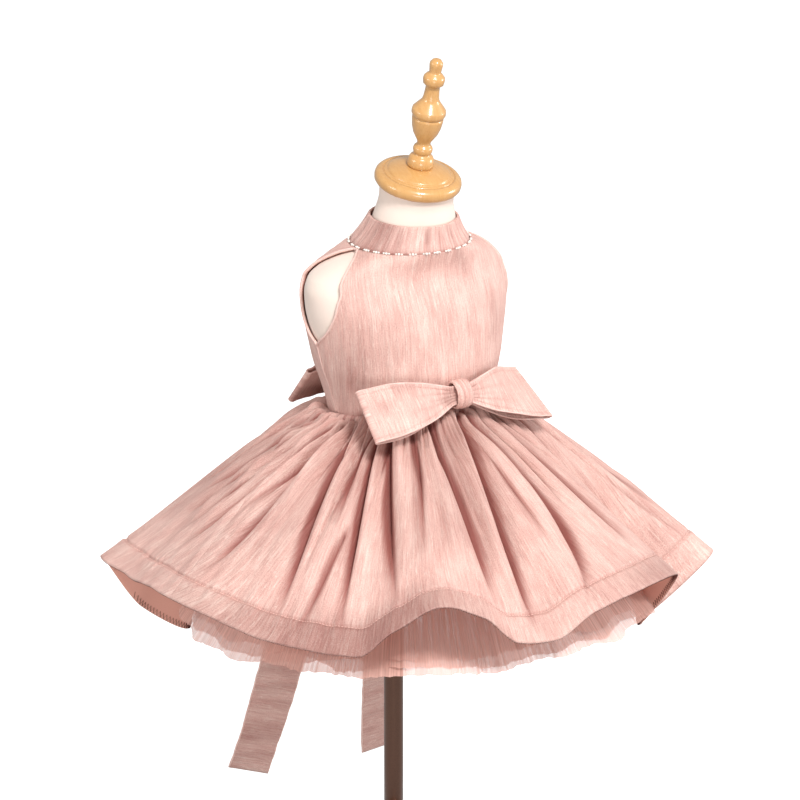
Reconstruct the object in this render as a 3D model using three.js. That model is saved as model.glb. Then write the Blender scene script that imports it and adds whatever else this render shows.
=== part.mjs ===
// A toddler's sleeveless party dress with a full gathered skirt, worn by a limbless dress form on a post.
// Millimetres, +Z up, the wearer faces -Y. The origin is the centre of the stand's underside.
import * as THREE from "three";

// Clearances and cloth thicknesses
const SEAM_GAP = 0.3;
const BODICE_CLOTH = 1.6;
const SKIRT_CLOTH = 1.6;
const HEM_EXTRA = 0.7;
const TULLE_CLOTH = 1.2;
const COLLAR_CLOTH = 2.4;
const RIBBON_CLOTH = 1.5;

// Heights of the main seams
const WAIST_HEIGHT = 626;
const WAIST_RISE_AT_FRONT = 10;
const COLLAR_SEAM_HEIGHT = 797;
const WAIST_FORWARD = 31;
const SKIRT_CENTRE_FORWARD = 28;
const SHIFTED_BY_WAY = 0.25;

const VELVET = { color: 0xe3b5ac, roughness: 0.55, metalness: 0 };
const TULLE = { color: 0xd9aea4, roughness: 0.8, metalness: 0 };
const COTTON = { color: 0xf6e6d8, roughness: 0.9, metalness: 0 };
const BEECH = { color: 0xe3b981, roughness: 0.4, metalness: 0 };
const BRONZED_STEEL = { color: 0x5a3f33, roughness: 0.35, metalness: 0.8 };
const PEARL = { color: 0xf0e4dc, roughness: 0.25, metalness: 0 };

// Sections of the bodice's outer face, from the waist to the collar seam: ellipses at a height,
// with the distance that their centre lies in front of the post.
const BODICE_SECTIONS = [
  { height: 600, halfWidth: 89, halfDepth: 72, forward: 31 },
  { height: 626, halfWidth: 90.5, halfDepth: 73, forward: 31 },
  { height: 650, halfWidth: 96, halfDepth: 77.5, forward: 29.5 },
  { height: 677, halfWidth: 104, halfDepth: 82, forward: 26.5 },
  { height: 705, halfWidth: 110, halfDepth: 82, forward: 24 },
  { height: 735, halfWidth: 116, halfDepth: 78, forward: 22 },
  { height: 752, halfWidth: 118, halfDepth: 72, forward: 20.5 },
  { height: 765, halfWidth: 116, halfDepth: 66, forward: 19.8 },
  { height: 775, halfWidth: 107, halfDepth: 62.5, forward: 21.5 },
  { height: 784, halfWidth: 93, halfDepth: 60.5, forward: 25 },
  { height: 791, halfWidth: 79, halfDepth: 60, forward: 28 },
  { height: 797, halfWidth: 63, halfDepth: 60.5, forward: 30 },
];

// Sections of the form, hips to neck. Lean is the slope of a section's plane, in degrees, lower in front.
const FORM_SECTIONS = [
  { height: 548, halfWidth: 82, halfDepth: 66, forward: 28, lean: 0 },
  { height: 556, halfWidth: 89, halfDepth: 73, forward: 28, lean: 0 },
  { height: 578, halfWidth: 90, halfDepth: 74, forward: 29, lean: 0 },
  { height: 602, halfWidth: 86, halfDepth: 69, forward: 30.5, lean: 0 },
  { height: 626, halfWidth: 86, halfDepth: 69, forward: 31, lean: 0 },
  { height: 650, halfWidth: 92.5, halfDepth: 74, forward: 29.5, lean: 0 },
  { height: 677, halfWidth: 100.5, halfDepth: 78.5, forward: 26.5, lean: 0 },
  { height: 705, halfWidth: 106.5, halfDepth: 78.5, forward: 24, lean: 0 },
  { height: 735, halfWidth: 112.6, halfDepth: 74.4, forward: 22, lean: 0 },
  { height: 752, halfWidth: 114, halfDepth: 68, forward: 20.5, lean: 0 },
  { height: 765, halfWidth: 110.8, halfDepth: 61.5, forward: 19.8, lean: 0 },
  { height: 775, halfWidth: 100.5, halfDepth: 58, forward: 21.5, lean: 0 },
  { height: 784, halfWidth: 84.5, halfDepth: 56.5, forward: 25, lean: 0 },
  { height: 791, halfWidth: 68.5, halfDepth: 55, forward: 28.5, lean: 0 },
  { height: 798, halfWidth: 55, halfDepth: 52.5, forward: 31, lean: 0 },
  { height: 812, halfWidth: 46, halfDepth: 45.5, forward: 35, lean: 1 },
  { height: 830, halfWidth: 41, halfDepth: 40, forward: 39.5, lean: 4 },
  { height: 844, halfWidth: 38, halfDepth: 37.5, forward: 42, lean: 9 },
  { height: 857, halfWidth: 38, halfDepth: 37.5, forward: 43.5, lean: 14.5 },
];

// Armhole edges: the angle from the front, in degrees, that the front panel reaches at a height,
// and the angle at which the back panel starts.
const ARMHOLE_EDGE = [
  { height: 600, front: 90, back: 90 },
  { height: 700, front: 90, back: 90 },
  { height: 708, front: 84, back: 97 },
  { height: 716, front: 77, back: 103 },
  { height: 734, front: 67, back: 112 },
  { height: 748, front: 62, back: 116.5 },
  { height: 761, front: 58.5, back: 119 },
  { height: 776, front: 62, back: 116 },
  { height: 791, front: 75, back: 104 },
  { height: 797, front: 89, back: 91 },
];
const PANEL_HEIGHT_STEPS = [0, 0.16, 0.33, 0.48, 0.56, 0.64, 0.72, 0.8, 0.87, 0.935, 1];

// The collar's seam and top edge, its half opening at the centre back in degrees, and its hollow flare.
const COLLAR = {
  seam: { halfWidth: 63, halfDepth: 60.5, forward: 30, height: COLLAR_SEAM_HEIGHT, lean: 0 },
  top: { halfWidth: 46.5, halfDepth: 46.5, forward: 37, height: 824, lean: 3 },
  halfOpening: 0.25,
  hollowed: 1.5,
};

// The skirt's hem, all the way round: reach from the skirt's centre and height, at an angle from the front.
const HEM_WAVES = [
  { angle: -172, reach: 276, height: 384 },
  { angle: -155, reach: 306, height: 418 },
  { angle: -137, reach: 243, height: 364 },
  { angle: -124, reach: 324, height: 450 },
  { angle: -112, reach: 298, height: 450 },
  { angle: -98, reach: 288, height: 462 },
  { angle: -78, reach: 290, height: 468 },
  { angle: -61, reach: 303, height: 466 },
  { angle: -43, reach: 315, height: 467 },
  { angle: -37, reach: 316, height: 493 },
  { angle: -28, reach: 318, height: 519 },
  { angle: -21, reach: 316, height: 506 },
  { angle: -14, reach: 311, height: 473 },
  { angle: -7, reach: 306, height: 467 },
  { angle: 3, reach: 308, height: 489 },
  { angle: 16, reach: 312, height: 496 },
  { angle: 28, reach: 306, height: 484 },
  { angle: 46, reach: 245, height: 388 },
  { angle: 59, reach: 324, height: 447 },
  { angle: 78, reach: 272, height: 398 },
  { angle: 97, reach: 312, height: 432 },
  { angle: 117, reach: 270, height: 386 },
  { angle: 136, reach: 308, height: 418 },
  { angle: 153, reach: 274, height: 386 },
  { angle: 171, reach: 306, height: 412 },
];
const HEM_MEAN = { reach: 298, height: 440, riseAtFront: 22, swellPower: 0.9 };

// The skirt's slope from waist to hem, as the two inner control points of a cubic curve:
// the share of the way out and the share of the way down.
const SKIRT_PUFF = { out: 0.2, down: -0.03, pressedAtFront: 0.09 };
const SKIRT_FALL = { out: 0.73, down: 0.66 };
const SKIRT_ROWS = [0, 0.05, 0.14, 0.3, 0.5, 0.7, 0.885, 1];
const HEM_BAND_START = 0.88;
const GATHERS = 48;
const COLUMNS_PER_GATHER = 4;
const BROAD_FOLDS = 16;
// How deep the small gathers and the broad folds are, in millimetres, on the way from waist to hem.
const FOLD_DEPTHS = [
  { way: 0, gather: 0, broad: 0 },
  { way: 0.05, gather: 2.4, broad: 0.5 },
  { way: 0.14, gather: 3.6, broad: 2 },
  { way: 0.3, gather: 3.4, broad: 5 },
  { way: 0.5, gather: 2.2, broad: 6 },
  { way: 0.7, gather: 0.9, broad: 4 },
  { way: 0.885, gather: 0.2, broad: 2 },
  { way: 1, gather: 0, broad: 1 },
];

// The petticoat's waist ring, its hem, and the room that it leaves under the skirt at the waist and below.
const PETTICOAT = {
  waistHalfWidth: 88.4,
  waistHalfDepth: 71.4,
  topDrop: 6,
  reach: 272,
  height: 419,
  riseAtFront: 12,
  outwardPower: 0.95,
  room: { atWaist: 3, below: 16, fullFrom: 0.3 },
  ripples: 24,
  rippleDepth: 3,
  rows: 4,
};

const FRONT_BOW = {
  side: -1,
  knot: { out: 121.5, height: 655.5 },
  loops: [
    { name: "front_bow_right_loop", reach: -104, out: 112.5, height: 647.5, halfHeight: 28, tilt: 40 },
    { name: "front_bow_left_loop", reach: 103, out: 114, height: 641, halfHeight: 30.5, tilt: 46 },
  ],
  knotName: "front_bow_knot",
  knotTilt: 18,
};
const BACK_BOW = {
  side: 1,
  knot: { out: 58.9, height: 641 },
  loops: [
    { name: "back_bow_right_loop", reach: -84, out: 51, height: 632.5, halfHeight: 24, tilt: 38 },
    { name: "back_bow_left_loop", reach: 84, out: 51, height: 631, halfHeight: 24, tilt: 38 },
  ],
  knotName: "back_bow_knot",
  knotTilt: 18,
};
const LOOP_NECK = { start: 1.2, halfHeight: 8.8, halfGap: 2 };
const LOOP_BELLY = 5;
const LOOP_END_RADIUS = 3;
const KNOT_RING = { halfHeight: 12.5, halfDepth: 8, width: 19 };

// The two sash tails: angles from the front where they leave the knot, the hem and their ends.
const TAILS = [
  { name: "sash_tail_right", lift: 8.2, atKnot: 185.6, atHem: 164, atEnd: 181, endHeight: 66, twist: 8 },
  { name: "sash_tail_left", lift: 9.3, atKnot: 174.4, atHem: 150, atEnd: 152, endHeight: 70, twist: -38 },
];
const TAIL_WIDTH = 53;
const TAIL_NECK_WIDTH = 18;
const TAIL_HEM = { reach: 314, height: 410 };
const TAIL_START = { reach: 68, height: 614.3, way: 0.08 };
const TAIL_STEPS = { onSkirt: 9, hanging: 7, widening: 8 };
const TAIL_LIFT_OUT = 0.6;
const TAIL_HANGS_OUT = { by: 10, withinShare: 0.33, turnPower: 1.4 };

const PLACKET = { width: 16, firstStep: 2, topShare: 0.96, thickness: 1.2 };
const BUTTONS = { count: 4, diameter: 9, thickness: 3, lowest: 676, spacing: 33 };

const POST_RADIUS = 10.5;
const BASE = { radius: 150, edge: 8, hubRadius: 20, hubHeight: 30 };
const NECK_CAP_LEAN = 14.5;

// Lathe profiles: radius and height above the neck's top, along the leaning axis.
const NECK_CAP_PROFILE = [
  [0, 0], [40, 0], [43.6, 2], [44.6, 6.5], [42.8, 11], [38, 13.2], [32.4, 14], [31.4, 16.2], [24, 19],
  [13, 20.8], [0, 20.8],
];
const FINIAL_PROFILE = [
  [0, 0], [12.6, 0], [13.8, 4.5], [11.6, 11], [8.4, 14.5], [10, 19.5], [6.8, 26], [12.6, 37], [15.8, 51],
  [15.2, 55.5], [17.3, 59.5], [17, 63.5], [8.6, 72.5], [7.2, 89], [11.1, 95.5], [6, 103.5], [6.8, 111],
  [4.4, 116], [0, 117.5],
];

const radians = THREE.MathUtils.degToRad;

// A smooth curve through table values, with no overshoot between two rows.
function smoothThrough(places, values, place) {
  const last = places.length - 1;
  if (place <= places[0]) return values[0];
  if (place >= places[last]) return values[last];
  let k = 0;
  while (place > places[k + 1]) k += 1;
  const rise = (i) => (values[i + 1] - values[i]) / (places[i + 1] - places[i]);
  const slopeAt = (i) => {
    if (i === 0 || i === last) return rise(Math.min(i, last - 1));
    const before = rise(i - 1);
    const after = rise(i);
    return before * after <= 0 ? 0 : (2 * before * after) / (before + after);
  };
  const step = places[k + 1] - places[k];
  const s = (place - places[k]) / step;
  const ease = s * s * (3 - 2 * s);
  const startPull = s * (1 - s) * (1 - s) * step * slopeAt(k);
  const endPull = s * s * (s - 1) * step * slopeAt(k + 1);
  return values[k] * (1 - ease) + values[k + 1] * ease + startPull + endPull;
}

function column(table, placeKey, valueKey) {
  const places = table.map((row) => row[placeKey]);
  const values = table.map((row) => row[valueKey]);
  return (place) => smoothThrough(places, values, place);
}

// The same table carried once round on both sides, so that the curve closes on itself.
function roundColumn(table, valueKey) {
  const turnedBy = (turn) => table.map((row) => ({ ...row, angle: row.angle + turn }));
  const wrapped = [-360, 0, 360].flatMap(turnedBy);
  return column(wrapped, "angle", valueKey);
}

// The point of an ellipse at an angle from the front, positive towards the wearer's left.
function aroundEllipse(angle, halfWidth, halfDepth, forward, height) {
  const a = radians(angle);
  return new THREE.Vector3(halfWidth * Math.sin(a), -forward - halfDepth * Math.cos(a), height);
}

function surfaceNormal(surface, u, v, du, dv) {
  const across = surface(u + du, v).sub(surface(u - du, v));
  const along = surface(u, v + dv).sub(surface(u, v - dv));
  return across.cross(along).normalize();
}

// Turns every face the same way, outwards.
function facingOut(geometry) {
  const p = geometry.getAttribute("position");
  const index = geometry.index.array;
  const [a, b, c] = [new THREE.Vector3(), new THREE.Vector3(), new THREE.Vector3()];
  let volume = 0;
  for (let i = 0; i < index.length; i += 3) {
    a.fromBufferAttribute(p, index[i]);
    b.fromBufferAttribute(p, index[i + 1]);
    c.fromBufferAttribute(p, index[i + 2]);
    volume += a.dot(b.cross(c));
  }
  if (volume < 0) {
    for (let i = 0; i < index.length; i += 3) {
      [index[i + 1], index[i + 2]] = [index[i + 2], index[i + 1]];
    }
  }
  geometry.computeVertexNormals();
  return geometry;
}

function indexedGeometry(points, index) {
  const geometry = new THREE.BufferGeometry();
  const positions = new Float32Array(points.flatMap((point) => point.toArray()));
  geometry.setAttribute("position", new THREE.BufferAttribute(positions, 3));
  geometry.setIndex(index);
  return facingOut(geometry);
}

// A cloth wall between two faces on the same grid, closed along its free edges.
function clothWall({ columns, rows, outer, inner, closed = false }) {
  const across = closed ? columns : columns + 1;
  const points = [];
  for (const face of [outer, inner]) {
    for (let j = 0; j <= rows; j += 1) {
      for (let i = 0; i < across; i += 1) points.push(face(i / columns, j / rows));
    }
  }
  const at = (side, i, j) => side * across * (rows + 1) + j * across + (i % across);
  const index = [];
  const quad = (a, b, c, d) => index.push(a, b, c, a, c, d);
  for (let i = 0; i < columns; i += 1) {
    for (let j = 0; j < rows; j += 1) {
      quad(at(0, i, j), at(0, i + 1, j), at(0, i + 1, j + 1), at(0, i, j + 1));
      quad(at(1, i, j), at(1, i, j + 1), at(1, i + 1, j + 1), at(1, i + 1, j));
    }
    quad(at(0, i + 1, 0), at(0, i, 0), at(1, i, 0), at(1, i + 1, 0));
    quad(at(0, i, rows), at(0, i + 1, rows), at(1, i + 1, rows), at(1, i, rows));
  }
  if (!closed) {
    for (let j = 0; j < rows; j += 1) {
      quad(at(0, 0, j), at(0, 0, j + 1), at(1, 0, j + 1), at(1, 0, j));
      quad(at(0, columns, j + 1), at(0, columns, j), at(1, columns, j), at(1, columns, j + 1));
    }
  }
  return indexedGeometry(points, index);
}

// A closed body through rings that share one grid, with a flat or pointed cap at each end.
function ringBody({ columns, rows, ring, firstCentre, lastCentre }) {
  const points = [];
  for (let j = 0; j <= rows; j += 1) {
    for (let i = 0; i < columns; i += 1) points.push(ring(i / columns, j));
  }
  const first = points.push(firstCentre) - 1;
  const last = points.push(lastCentre) - 1;
  const at = (i, j) => j * columns + (i % columns);
  const index = [];
  for (let i = 0; i < columns; i += 1) {
    for (let j = 0; j < rows; j += 1) {
      index.push(at(i, j), at(i + 1, j), at(i + 1, j + 1), at(i, j), at(i + 1, j + 1), at(i, j + 1));
    }
    index.push(first, at(i + 1, 0), at(i, 0), last, at(i, rows), at(i + 1, rows));
  }
  return indexedGeometry(points, index);
}

function piece(name, geometry, look) {
  const mesh = new THREE.Mesh(geometry, new THREE.MeshStandardMaterial(look));
  mesh.name = name;
  return mesh;
}

// The bodice: one surface over the form, from which the front and the two backs are taken
const bodiceHalfWidth = column(BODICE_SECTIONS, "height", "halfWidth");
const bodiceHalfDepth = column(BODICE_SECTIONS, "height", "halfDepth");
const bodiceForward = column(BODICE_SECTIONS, "height", "forward");
const armholeFront = column(ARMHOLE_EDGE, "height", "front");
const armholeBack = column(ARMHOLE_EDGE, "height", "back");

const waistHeight = (angle) => WAIST_HEIGHT + WAIST_RISE_AT_FRONT * Math.cos(radians(angle));

function bodiceFace(angle, height) {
  const [halfWidth, halfDepth] = [bodiceHalfWidth(height), bodiceHalfDepth(height)];
  return aroundEllipse(angle, halfWidth, halfDepth, bodiceForward(height), height);
}

function bodicePoint(angle, height, moved) {
  const normal = surfaceNormal(bodiceFace, angle, height, 0.5, 0.5);
  return bodiceFace(angle, height).addScaledVector(normal, moved);
}

// A panel runs between two edge angles that depend on the height.
function bodicePanel(name, columns, startAngle, endAngle) {
  const rows = PANEL_HEIGHT_STEPS.length - 1;
  const face = (moved) => (u, v) => {
    const share = PANEL_HEIGHT_STEPS[Math.round(v * rows)];
    const middle = THREE.MathUtils.lerp(startAngle(WAIST_HEIGHT), endAngle(WAIST_HEIGHT), u);
    const bottom = waistHeight(middle);
    const height = THREE.MathUtils.lerp(bottom, COLLAR_SEAM_HEIGHT - SEAM_GAP, share);
    const halfGap = THREE.MathUtils.radToDeg(SEAM_GAP / 2 / bodiceHalfWidth(height));
    const angle = THREE.MathUtils.lerp(startAngle(height) + halfGap, endAngle(height) - halfGap, u);
    const point = bodicePoint(angle, height, moved);
    point.z = THREE.MathUtils.clamp(point.z, bottom, COLLAR_SEAM_HEIGHT - SEAM_GAP);
    return point;
  };
  return piece(name, clothWall({ columns, rows, outer: face(0), inner: face(-BODICE_CLOTH) }), VELVET);
}

function bodice() {
  return [
    bodicePanel("bodice_front", 22, (h) => -armholeFront(h), (h) => armholeFront(h)),
    bodicePanel("bodice_back_left", 10, (h) => armholeBack(h), () => 180),
    bodicePanel("bodice_back_right", 10, () => -180, (h) => -armholeBack(h)),
  ];
}

// The stand collar, open at the centre back, flares down to its seam.
function collar() {
  const { seam, top, halfOpening, hollowed } = COLLAR;
  const face = (inset) => (u, v) => {
    const angle = THREE.MathUtils.lerp(halfOpening - 180, 180 - halfOpening, u);
    const mix = (key) => THREE.MathUtils.lerp(seam[key], top[key], v);
    const hollow = hollowed * Math.sin(Math.PI * v);
    const halfWidth = mix("halfWidth") - hollow - inset;
    const halfDepth = mix("halfDepth") - hollow - inset;
    const drop = Math.tan(radians(mix("lean"))) * halfDepth * Math.cos(radians(angle));
    return aroundEllipse(angle, halfWidth, halfDepth, mix("forward"), mix("height") - drop);
  };
  const shape = { columns: 40, rows: 3, outer: face(0), inner: face(COLLAR_CLOTH) };
  return piece("collar", clothWall(shape), VELVET);
}

// The placket lies on the centre-back seam, and its buttons lie on it
function placket() {
  const shares = [...PANEL_HEIGHT_STEPS.slice(PLACKET.firstStep, -1), PLACKET.topShare];
  const rows = shares.length - 1;
  const face = (moved) => (u, v) => {
    const share = shares[Math.round(v * rows)];
    const height = THREE.MathUtils.lerp(waistHeight(180), COLLAR_SEAM_HEIGHT - SEAM_GAP, share);
    const halfAngle = THREE.MathUtils.radToDeg(PLACKET.width / 2 / bodiceHalfWidth(height));
    return bodicePoint(180 + THREE.MathUtils.lerp(-halfAngle, halfAngle, u), height, moved);
  };
  const outer = face(2 * SEAM_GAP + PLACKET.thickness);
  return piece("back_placket", clothWall({ columns: 2, rows, outer, inner: face(2 * SEAM_GAP) }), VELVET);
}

function buttons() {
  const rim = BUTTONS.diameter / 2;
  const deep = BUTTONS.thickness;
  const profile = [[0, 0], [rim - 0.8, 0], [rim, deep * 0.4], [rim - 1, deep], [0, deep]];
  return Array.from({ length: BUTTONS.count }, (_, k) => {
    const height = BUTTONS.lowest + k * BUTTONS.spacing;
    const normal = surfaceNormal(bodiceFace, 180, height, 0.5, 0.5);
    const seat = bodicePoint(180, height, PLACKET.thickness + 3 * SEAM_GAP);
    const geometry = new THREE.LatheGeometry(profile.map(([r, h]) => new THREE.Vector2(r, h)), 10);
    const button = piece(`back_button_${k + 1}`, geometry, PEARL);
    button.quaternion.setFromUnitVectors(new THREE.Vector3(0, 1, 0), normal);
    button.position.copy(seat);
    return button;
  });
}

// The skirt: a slope from the waist ring to the waving hem, with gathers and broad folds on it
const hemReach = roundColumn(HEM_WAVES, "reach");
const hemHeight = roundColumn(HEM_WAVES, "height");
const gatherDepth = column(FOLD_DEPTHS, "way", "gather");
const broadDepth = column(FOLD_DEPTHS, "way", "broad");

function cubic(way, start, first, second, end) {
  const back = 1 - way;
  const early = 3 * back * back * way * first;
  const late = 3 * back * way * way * second;
  return back * back * back * start + early + late + way * way * way * end;
}

// The skirt's centre lies a little less far forward than the waist's.
function skirtForward(way) {
  return THREE.MathUtils.lerp(WAIST_FORWARD, SKIRT_CENTRE_FORWARD, Math.min(1, way / SHIFTED_BY_WAY));
}

// The distance from an ellipse's centre to its edge at an angle from the front.
function ellipseReach(angle, halfWidth, halfDepth) {
  return 1 / Math.hypot(Math.sin(radians(angle)) / halfWidth, Math.cos(radians(angle)) / halfDepth);
}

// Reach from the skirt's centre and height, before the folds. The hem's waves grow from the waist down.
function skirtSlope(angle, way) {
  const swell = way ** HEM_MEAN.swellPower;
  const facingFront = Math.cos(radians(angle));
  const meanHeight = HEM_MEAN.height + HEM_MEAN.riseAtFront * facingFront;
  const reachAtHem = HEM_MEAN.reach + (hemReach(angle) - HEM_MEAN.reach) * swell;
  const heightAtHem = meanHeight + (hemHeight(angle) - meanHeight) * swell;
  const top = waistHeight(angle) - SEAM_GAP;
  const room = 2 * SEAM_GAP;
  const waistReach = ellipseReach(angle, bodiceHalfWidth(top) + room, bodiceHalfDepth(top) + room);
  const pressed = SKIRT_PUFF.pressedAtFront * Math.max(0, facingFront) ** 2;
  const out = cubic(way, 0, SKIRT_PUFF.out, SKIRT_FALL.out, 1);
  const down = cubic(way, 0, SKIRT_PUFF.down + pressed, SKIRT_FALL.down, 1);
  return {
    reach: waistReach + (reachAtHem - waistReach) * out,
    height: top + (heightAtHem - top) * down,
    forward: skirtForward(way),
  };
}

function foldDepth(angle, way) {
  const unevenness = 0.75 + 0.25 * Math.sin(radians(angle * 5 + 40)) * Math.cos(radians(angle * 3));
  const gather = gatherDepth(way) * unevenness * Math.cos(radians(angle * GATHERS));
  const broad = broadDepth(way) * Math.cos(radians(angle * BROAD_FOLDS + 25 * Math.sin(radians(angle * 3))));
  return gather + broad;
}

function skirtPoint(angle, way, moved) {
  const place = skirtSlope(angle, way);
  const step = 0.01;
  const before = skirtSlope(angle, Math.max(0, way - step));
  const after = skirtSlope(angle, Math.min(1, way + step));
  const slope = new THREE.Vector2(after.reach - before.reach, after.height - before.height).normalize();
  const away = moved + foldDepth(angle, way);
  const reach = place.reach - slope.y * away;
  return aroundEllipse(angle, reach, reach, place.forward, place.height + slope.x * away);
}

function skirtPanel(name, startAngle) {
  const columns = (GATHERS / 2) * COLUMNS_PER_GATHER;
  const rows = SKIRT_ROWS.length - 1;
  const face = (moved, bandExtra) => (u, v) => {
    const way = SKIRT_ROWS[Math.round(v * rows)];
    const angle = startAngle + 180 * u;
    const point = skirtPoint(angle, way, moved + (way > HEM_BAND_START ? bandExtra : 0));
    const inset = u === 0 ? SEAM_GAP / 2 : -SEAM_GAP / 2;
    if (u === 0 || u === 1) {
      point.x += inset * Math.cos(radians(angle));
      point.y += inset * Math.sin(radians(angle));
    }
    return point;
  };
  const geometry = clothWall({ columns, rows, outer: face(0, HEM_EXTRA), inner: face(-SKIRT_CLOTH, 0) });
  return piece(name, geometry, VELVET);
}

// How far out the skirt's slope is at a height, or no limit below its hem.
function skirtReachAt(angle, height) {
  const steps = 24;
  for (let k = steps; k > 0; k -= 1) {
    const low = skirtSlope(angle, k / steps);
    const high = skirtSlope(angle, (k - 1) / steps);
    if (height <= low.height) return k === steps ? Infinity : low.reach;
    if (height < high.height) {
      const share = (height - low.height) / (high.height - low.height);
      return THREE.MathUtils.lerp(low.reach, high.reach, share);
    }
  }
  return skirtSlope(angle, 0.05).reach;
}

// The gathered tulle petticoat fills the skirt and shows below it.
function petticoat() {
  const face = (inset) => (u, v) => {
    const angle = -180 + 360 * u;
    const front = Math.cos(radians(angle));
    const top = waistHeight(angle) - PETTICOAT.topDrop;
    const bottom = PETTICOAT.height + PETTICOAT.riseAtFront * front;
    const height = THREE.MathUtils.lerp(top, bottom, v);
    const waistReach = ellipseReach(angle, PETTICOAT.waistHalfWidth, PETTICOAT.waistHalfDepth);
    const own = THREE.MathUtils.lerp(waistReach, PETTICOAT.reach, v ** PETTICOAT.outwardPower);
    const { atWaist, below, fullFrom } = PETTICOAT.room;
    const full = THREE.MathUtils.smoothstep(v, 0, fullFrom);
    const limit = skirtReachAt(angle, height) - THREE.MathUtils.lerp(atWaist, below, full);
    const ripple = PETTICOAT.rippleDepth * full * Math.cos(radians(angle * PETTICOAT.ripples));
    const reach = (v === 0 ? waistReach : Math.min(own, limit) + ripple) - inset;
    return aroundEllipse(angle, reach, reach, skirtForward(v), height);
  };
  const columns = PETTICOAT.ripples * 4;
  const shape = { columns, rows: PETTICOAT.rows, outer: face(0), inner: face(TULLE_CLOTH), closed: true };
  return piece("petticoat", clothWall(shape), TULLE);
}

// Bows: each loop is a flat band that runs out from the knot, turns over and comes back behind itself
function bowFrame(bow, reach, out, height, tilt) {
  const t = radians(tilt);
  return {
    centre: new THREE.Vector3(reach, bow.side * out, height),
    up: new THREE.Vector3(0, -bow.side * Math.sin(t), Math.cos(t)),
    front: new THREE.Vector3(0, bow.side * Math.cos(t), Math.sin(t)),
  };
}

function bowLoop(bow, loop) {
  const along = [0, 0.16, 0.36, 0.6, 0.82, 0.96];
  const turn = [150, 115, 65, 30];
  const stations = [
    ...along.map((way) => ({ way, gap: 1, past: 0 })),
    ...turn.map((angle) => ({ way: 1, gap: -Math.cos(radians(angle)), past: Math.sin(radians(angle)) })),
    ...along.toReversed().map((way) => ({ way, gap: -1, past: 0 })),
  ];
  const outwards = Math.sign(loop.reach);
  const face = (moved) => (u, v) => {
    const { way, gap, past } = stations[Math.round(u * (stations.length - 1))];
    const spread = Math.sin((Math.PI / 2) * THREE.MathUtils.clamp(way * 1.25 - 0.12, 0, 1));
    const reach = THREE.MathUtils.lerp(outwards * LOOP_NECK.start, loop.reach, way);
    const out = THREE.MathUtils.lerp(bow.knot.out, loop.out, way * way);
    const height = THREE.MathUtils.lerp(bow.knot.height, loop.height, way);
    const frame = bowFrame(bow, reach, out, height, THREE.MathUtils.lerp(bow.knotTilt, loop.tilt, spread));
    const halfHeight = THREE.MathUtils.lerp(LOOP_NECK.halfHeight, loop.halfHeight, spread);
    const belly = LOOP_NECK.halfGap + (LOOP_END_RADIUS - LOOP_NECK.halfGap) * way;
    const halfGap = belly + LOOP_BELLY * Math.sin(Math.PI * way) ** 3 + moved;
    return frame.centre
      .addScaledVector(frame.up, halfHeight * (1 - 2 * v))
      .addScaledVector(frame.front, halfGap * gap)
      .add(new THREE.Vector3(outwards * past * (LOOP_END_RADIUS + moved), 0, 0));
  };
  const columns = stations.length - 1;
  const shape = { columns, rows: 4, outer: face(RIBBON_CLOTH / 2), inner: face(-RIBBON_CLOTH / 2) };
  return piece(loop.name, clothWall(shape), VELVET);
}

function bowKnot(bow) {
  const face = (moved) => (u, v) => {
    const a = 2 * Math.PI * u;
    const across = 2 * v - 1;
    const waist = 1.6 * (1 - across * across);
    const frame = bowFrame(bow, (across * KNOT_RING.width) / 2, bow.knot.out, bow.knot.height, bow.knotTilt);
    return frame.centre
      .addScaledVector(frame.up, Math.cos(a) * (KNOT_RING.halfHeight + waist + moved))
      .addScaledVector(frame.front, Math.sin(a) * (KNOT_RING.halfDepth + waist + moved));
  };
  const shape = { columns: 16, rows: 4, outer: face(RIBBON_CLOTH), inner: face(0), closed: true };
  return piece(bow.knotName, clothWall(shape), VELVET);
}

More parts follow.
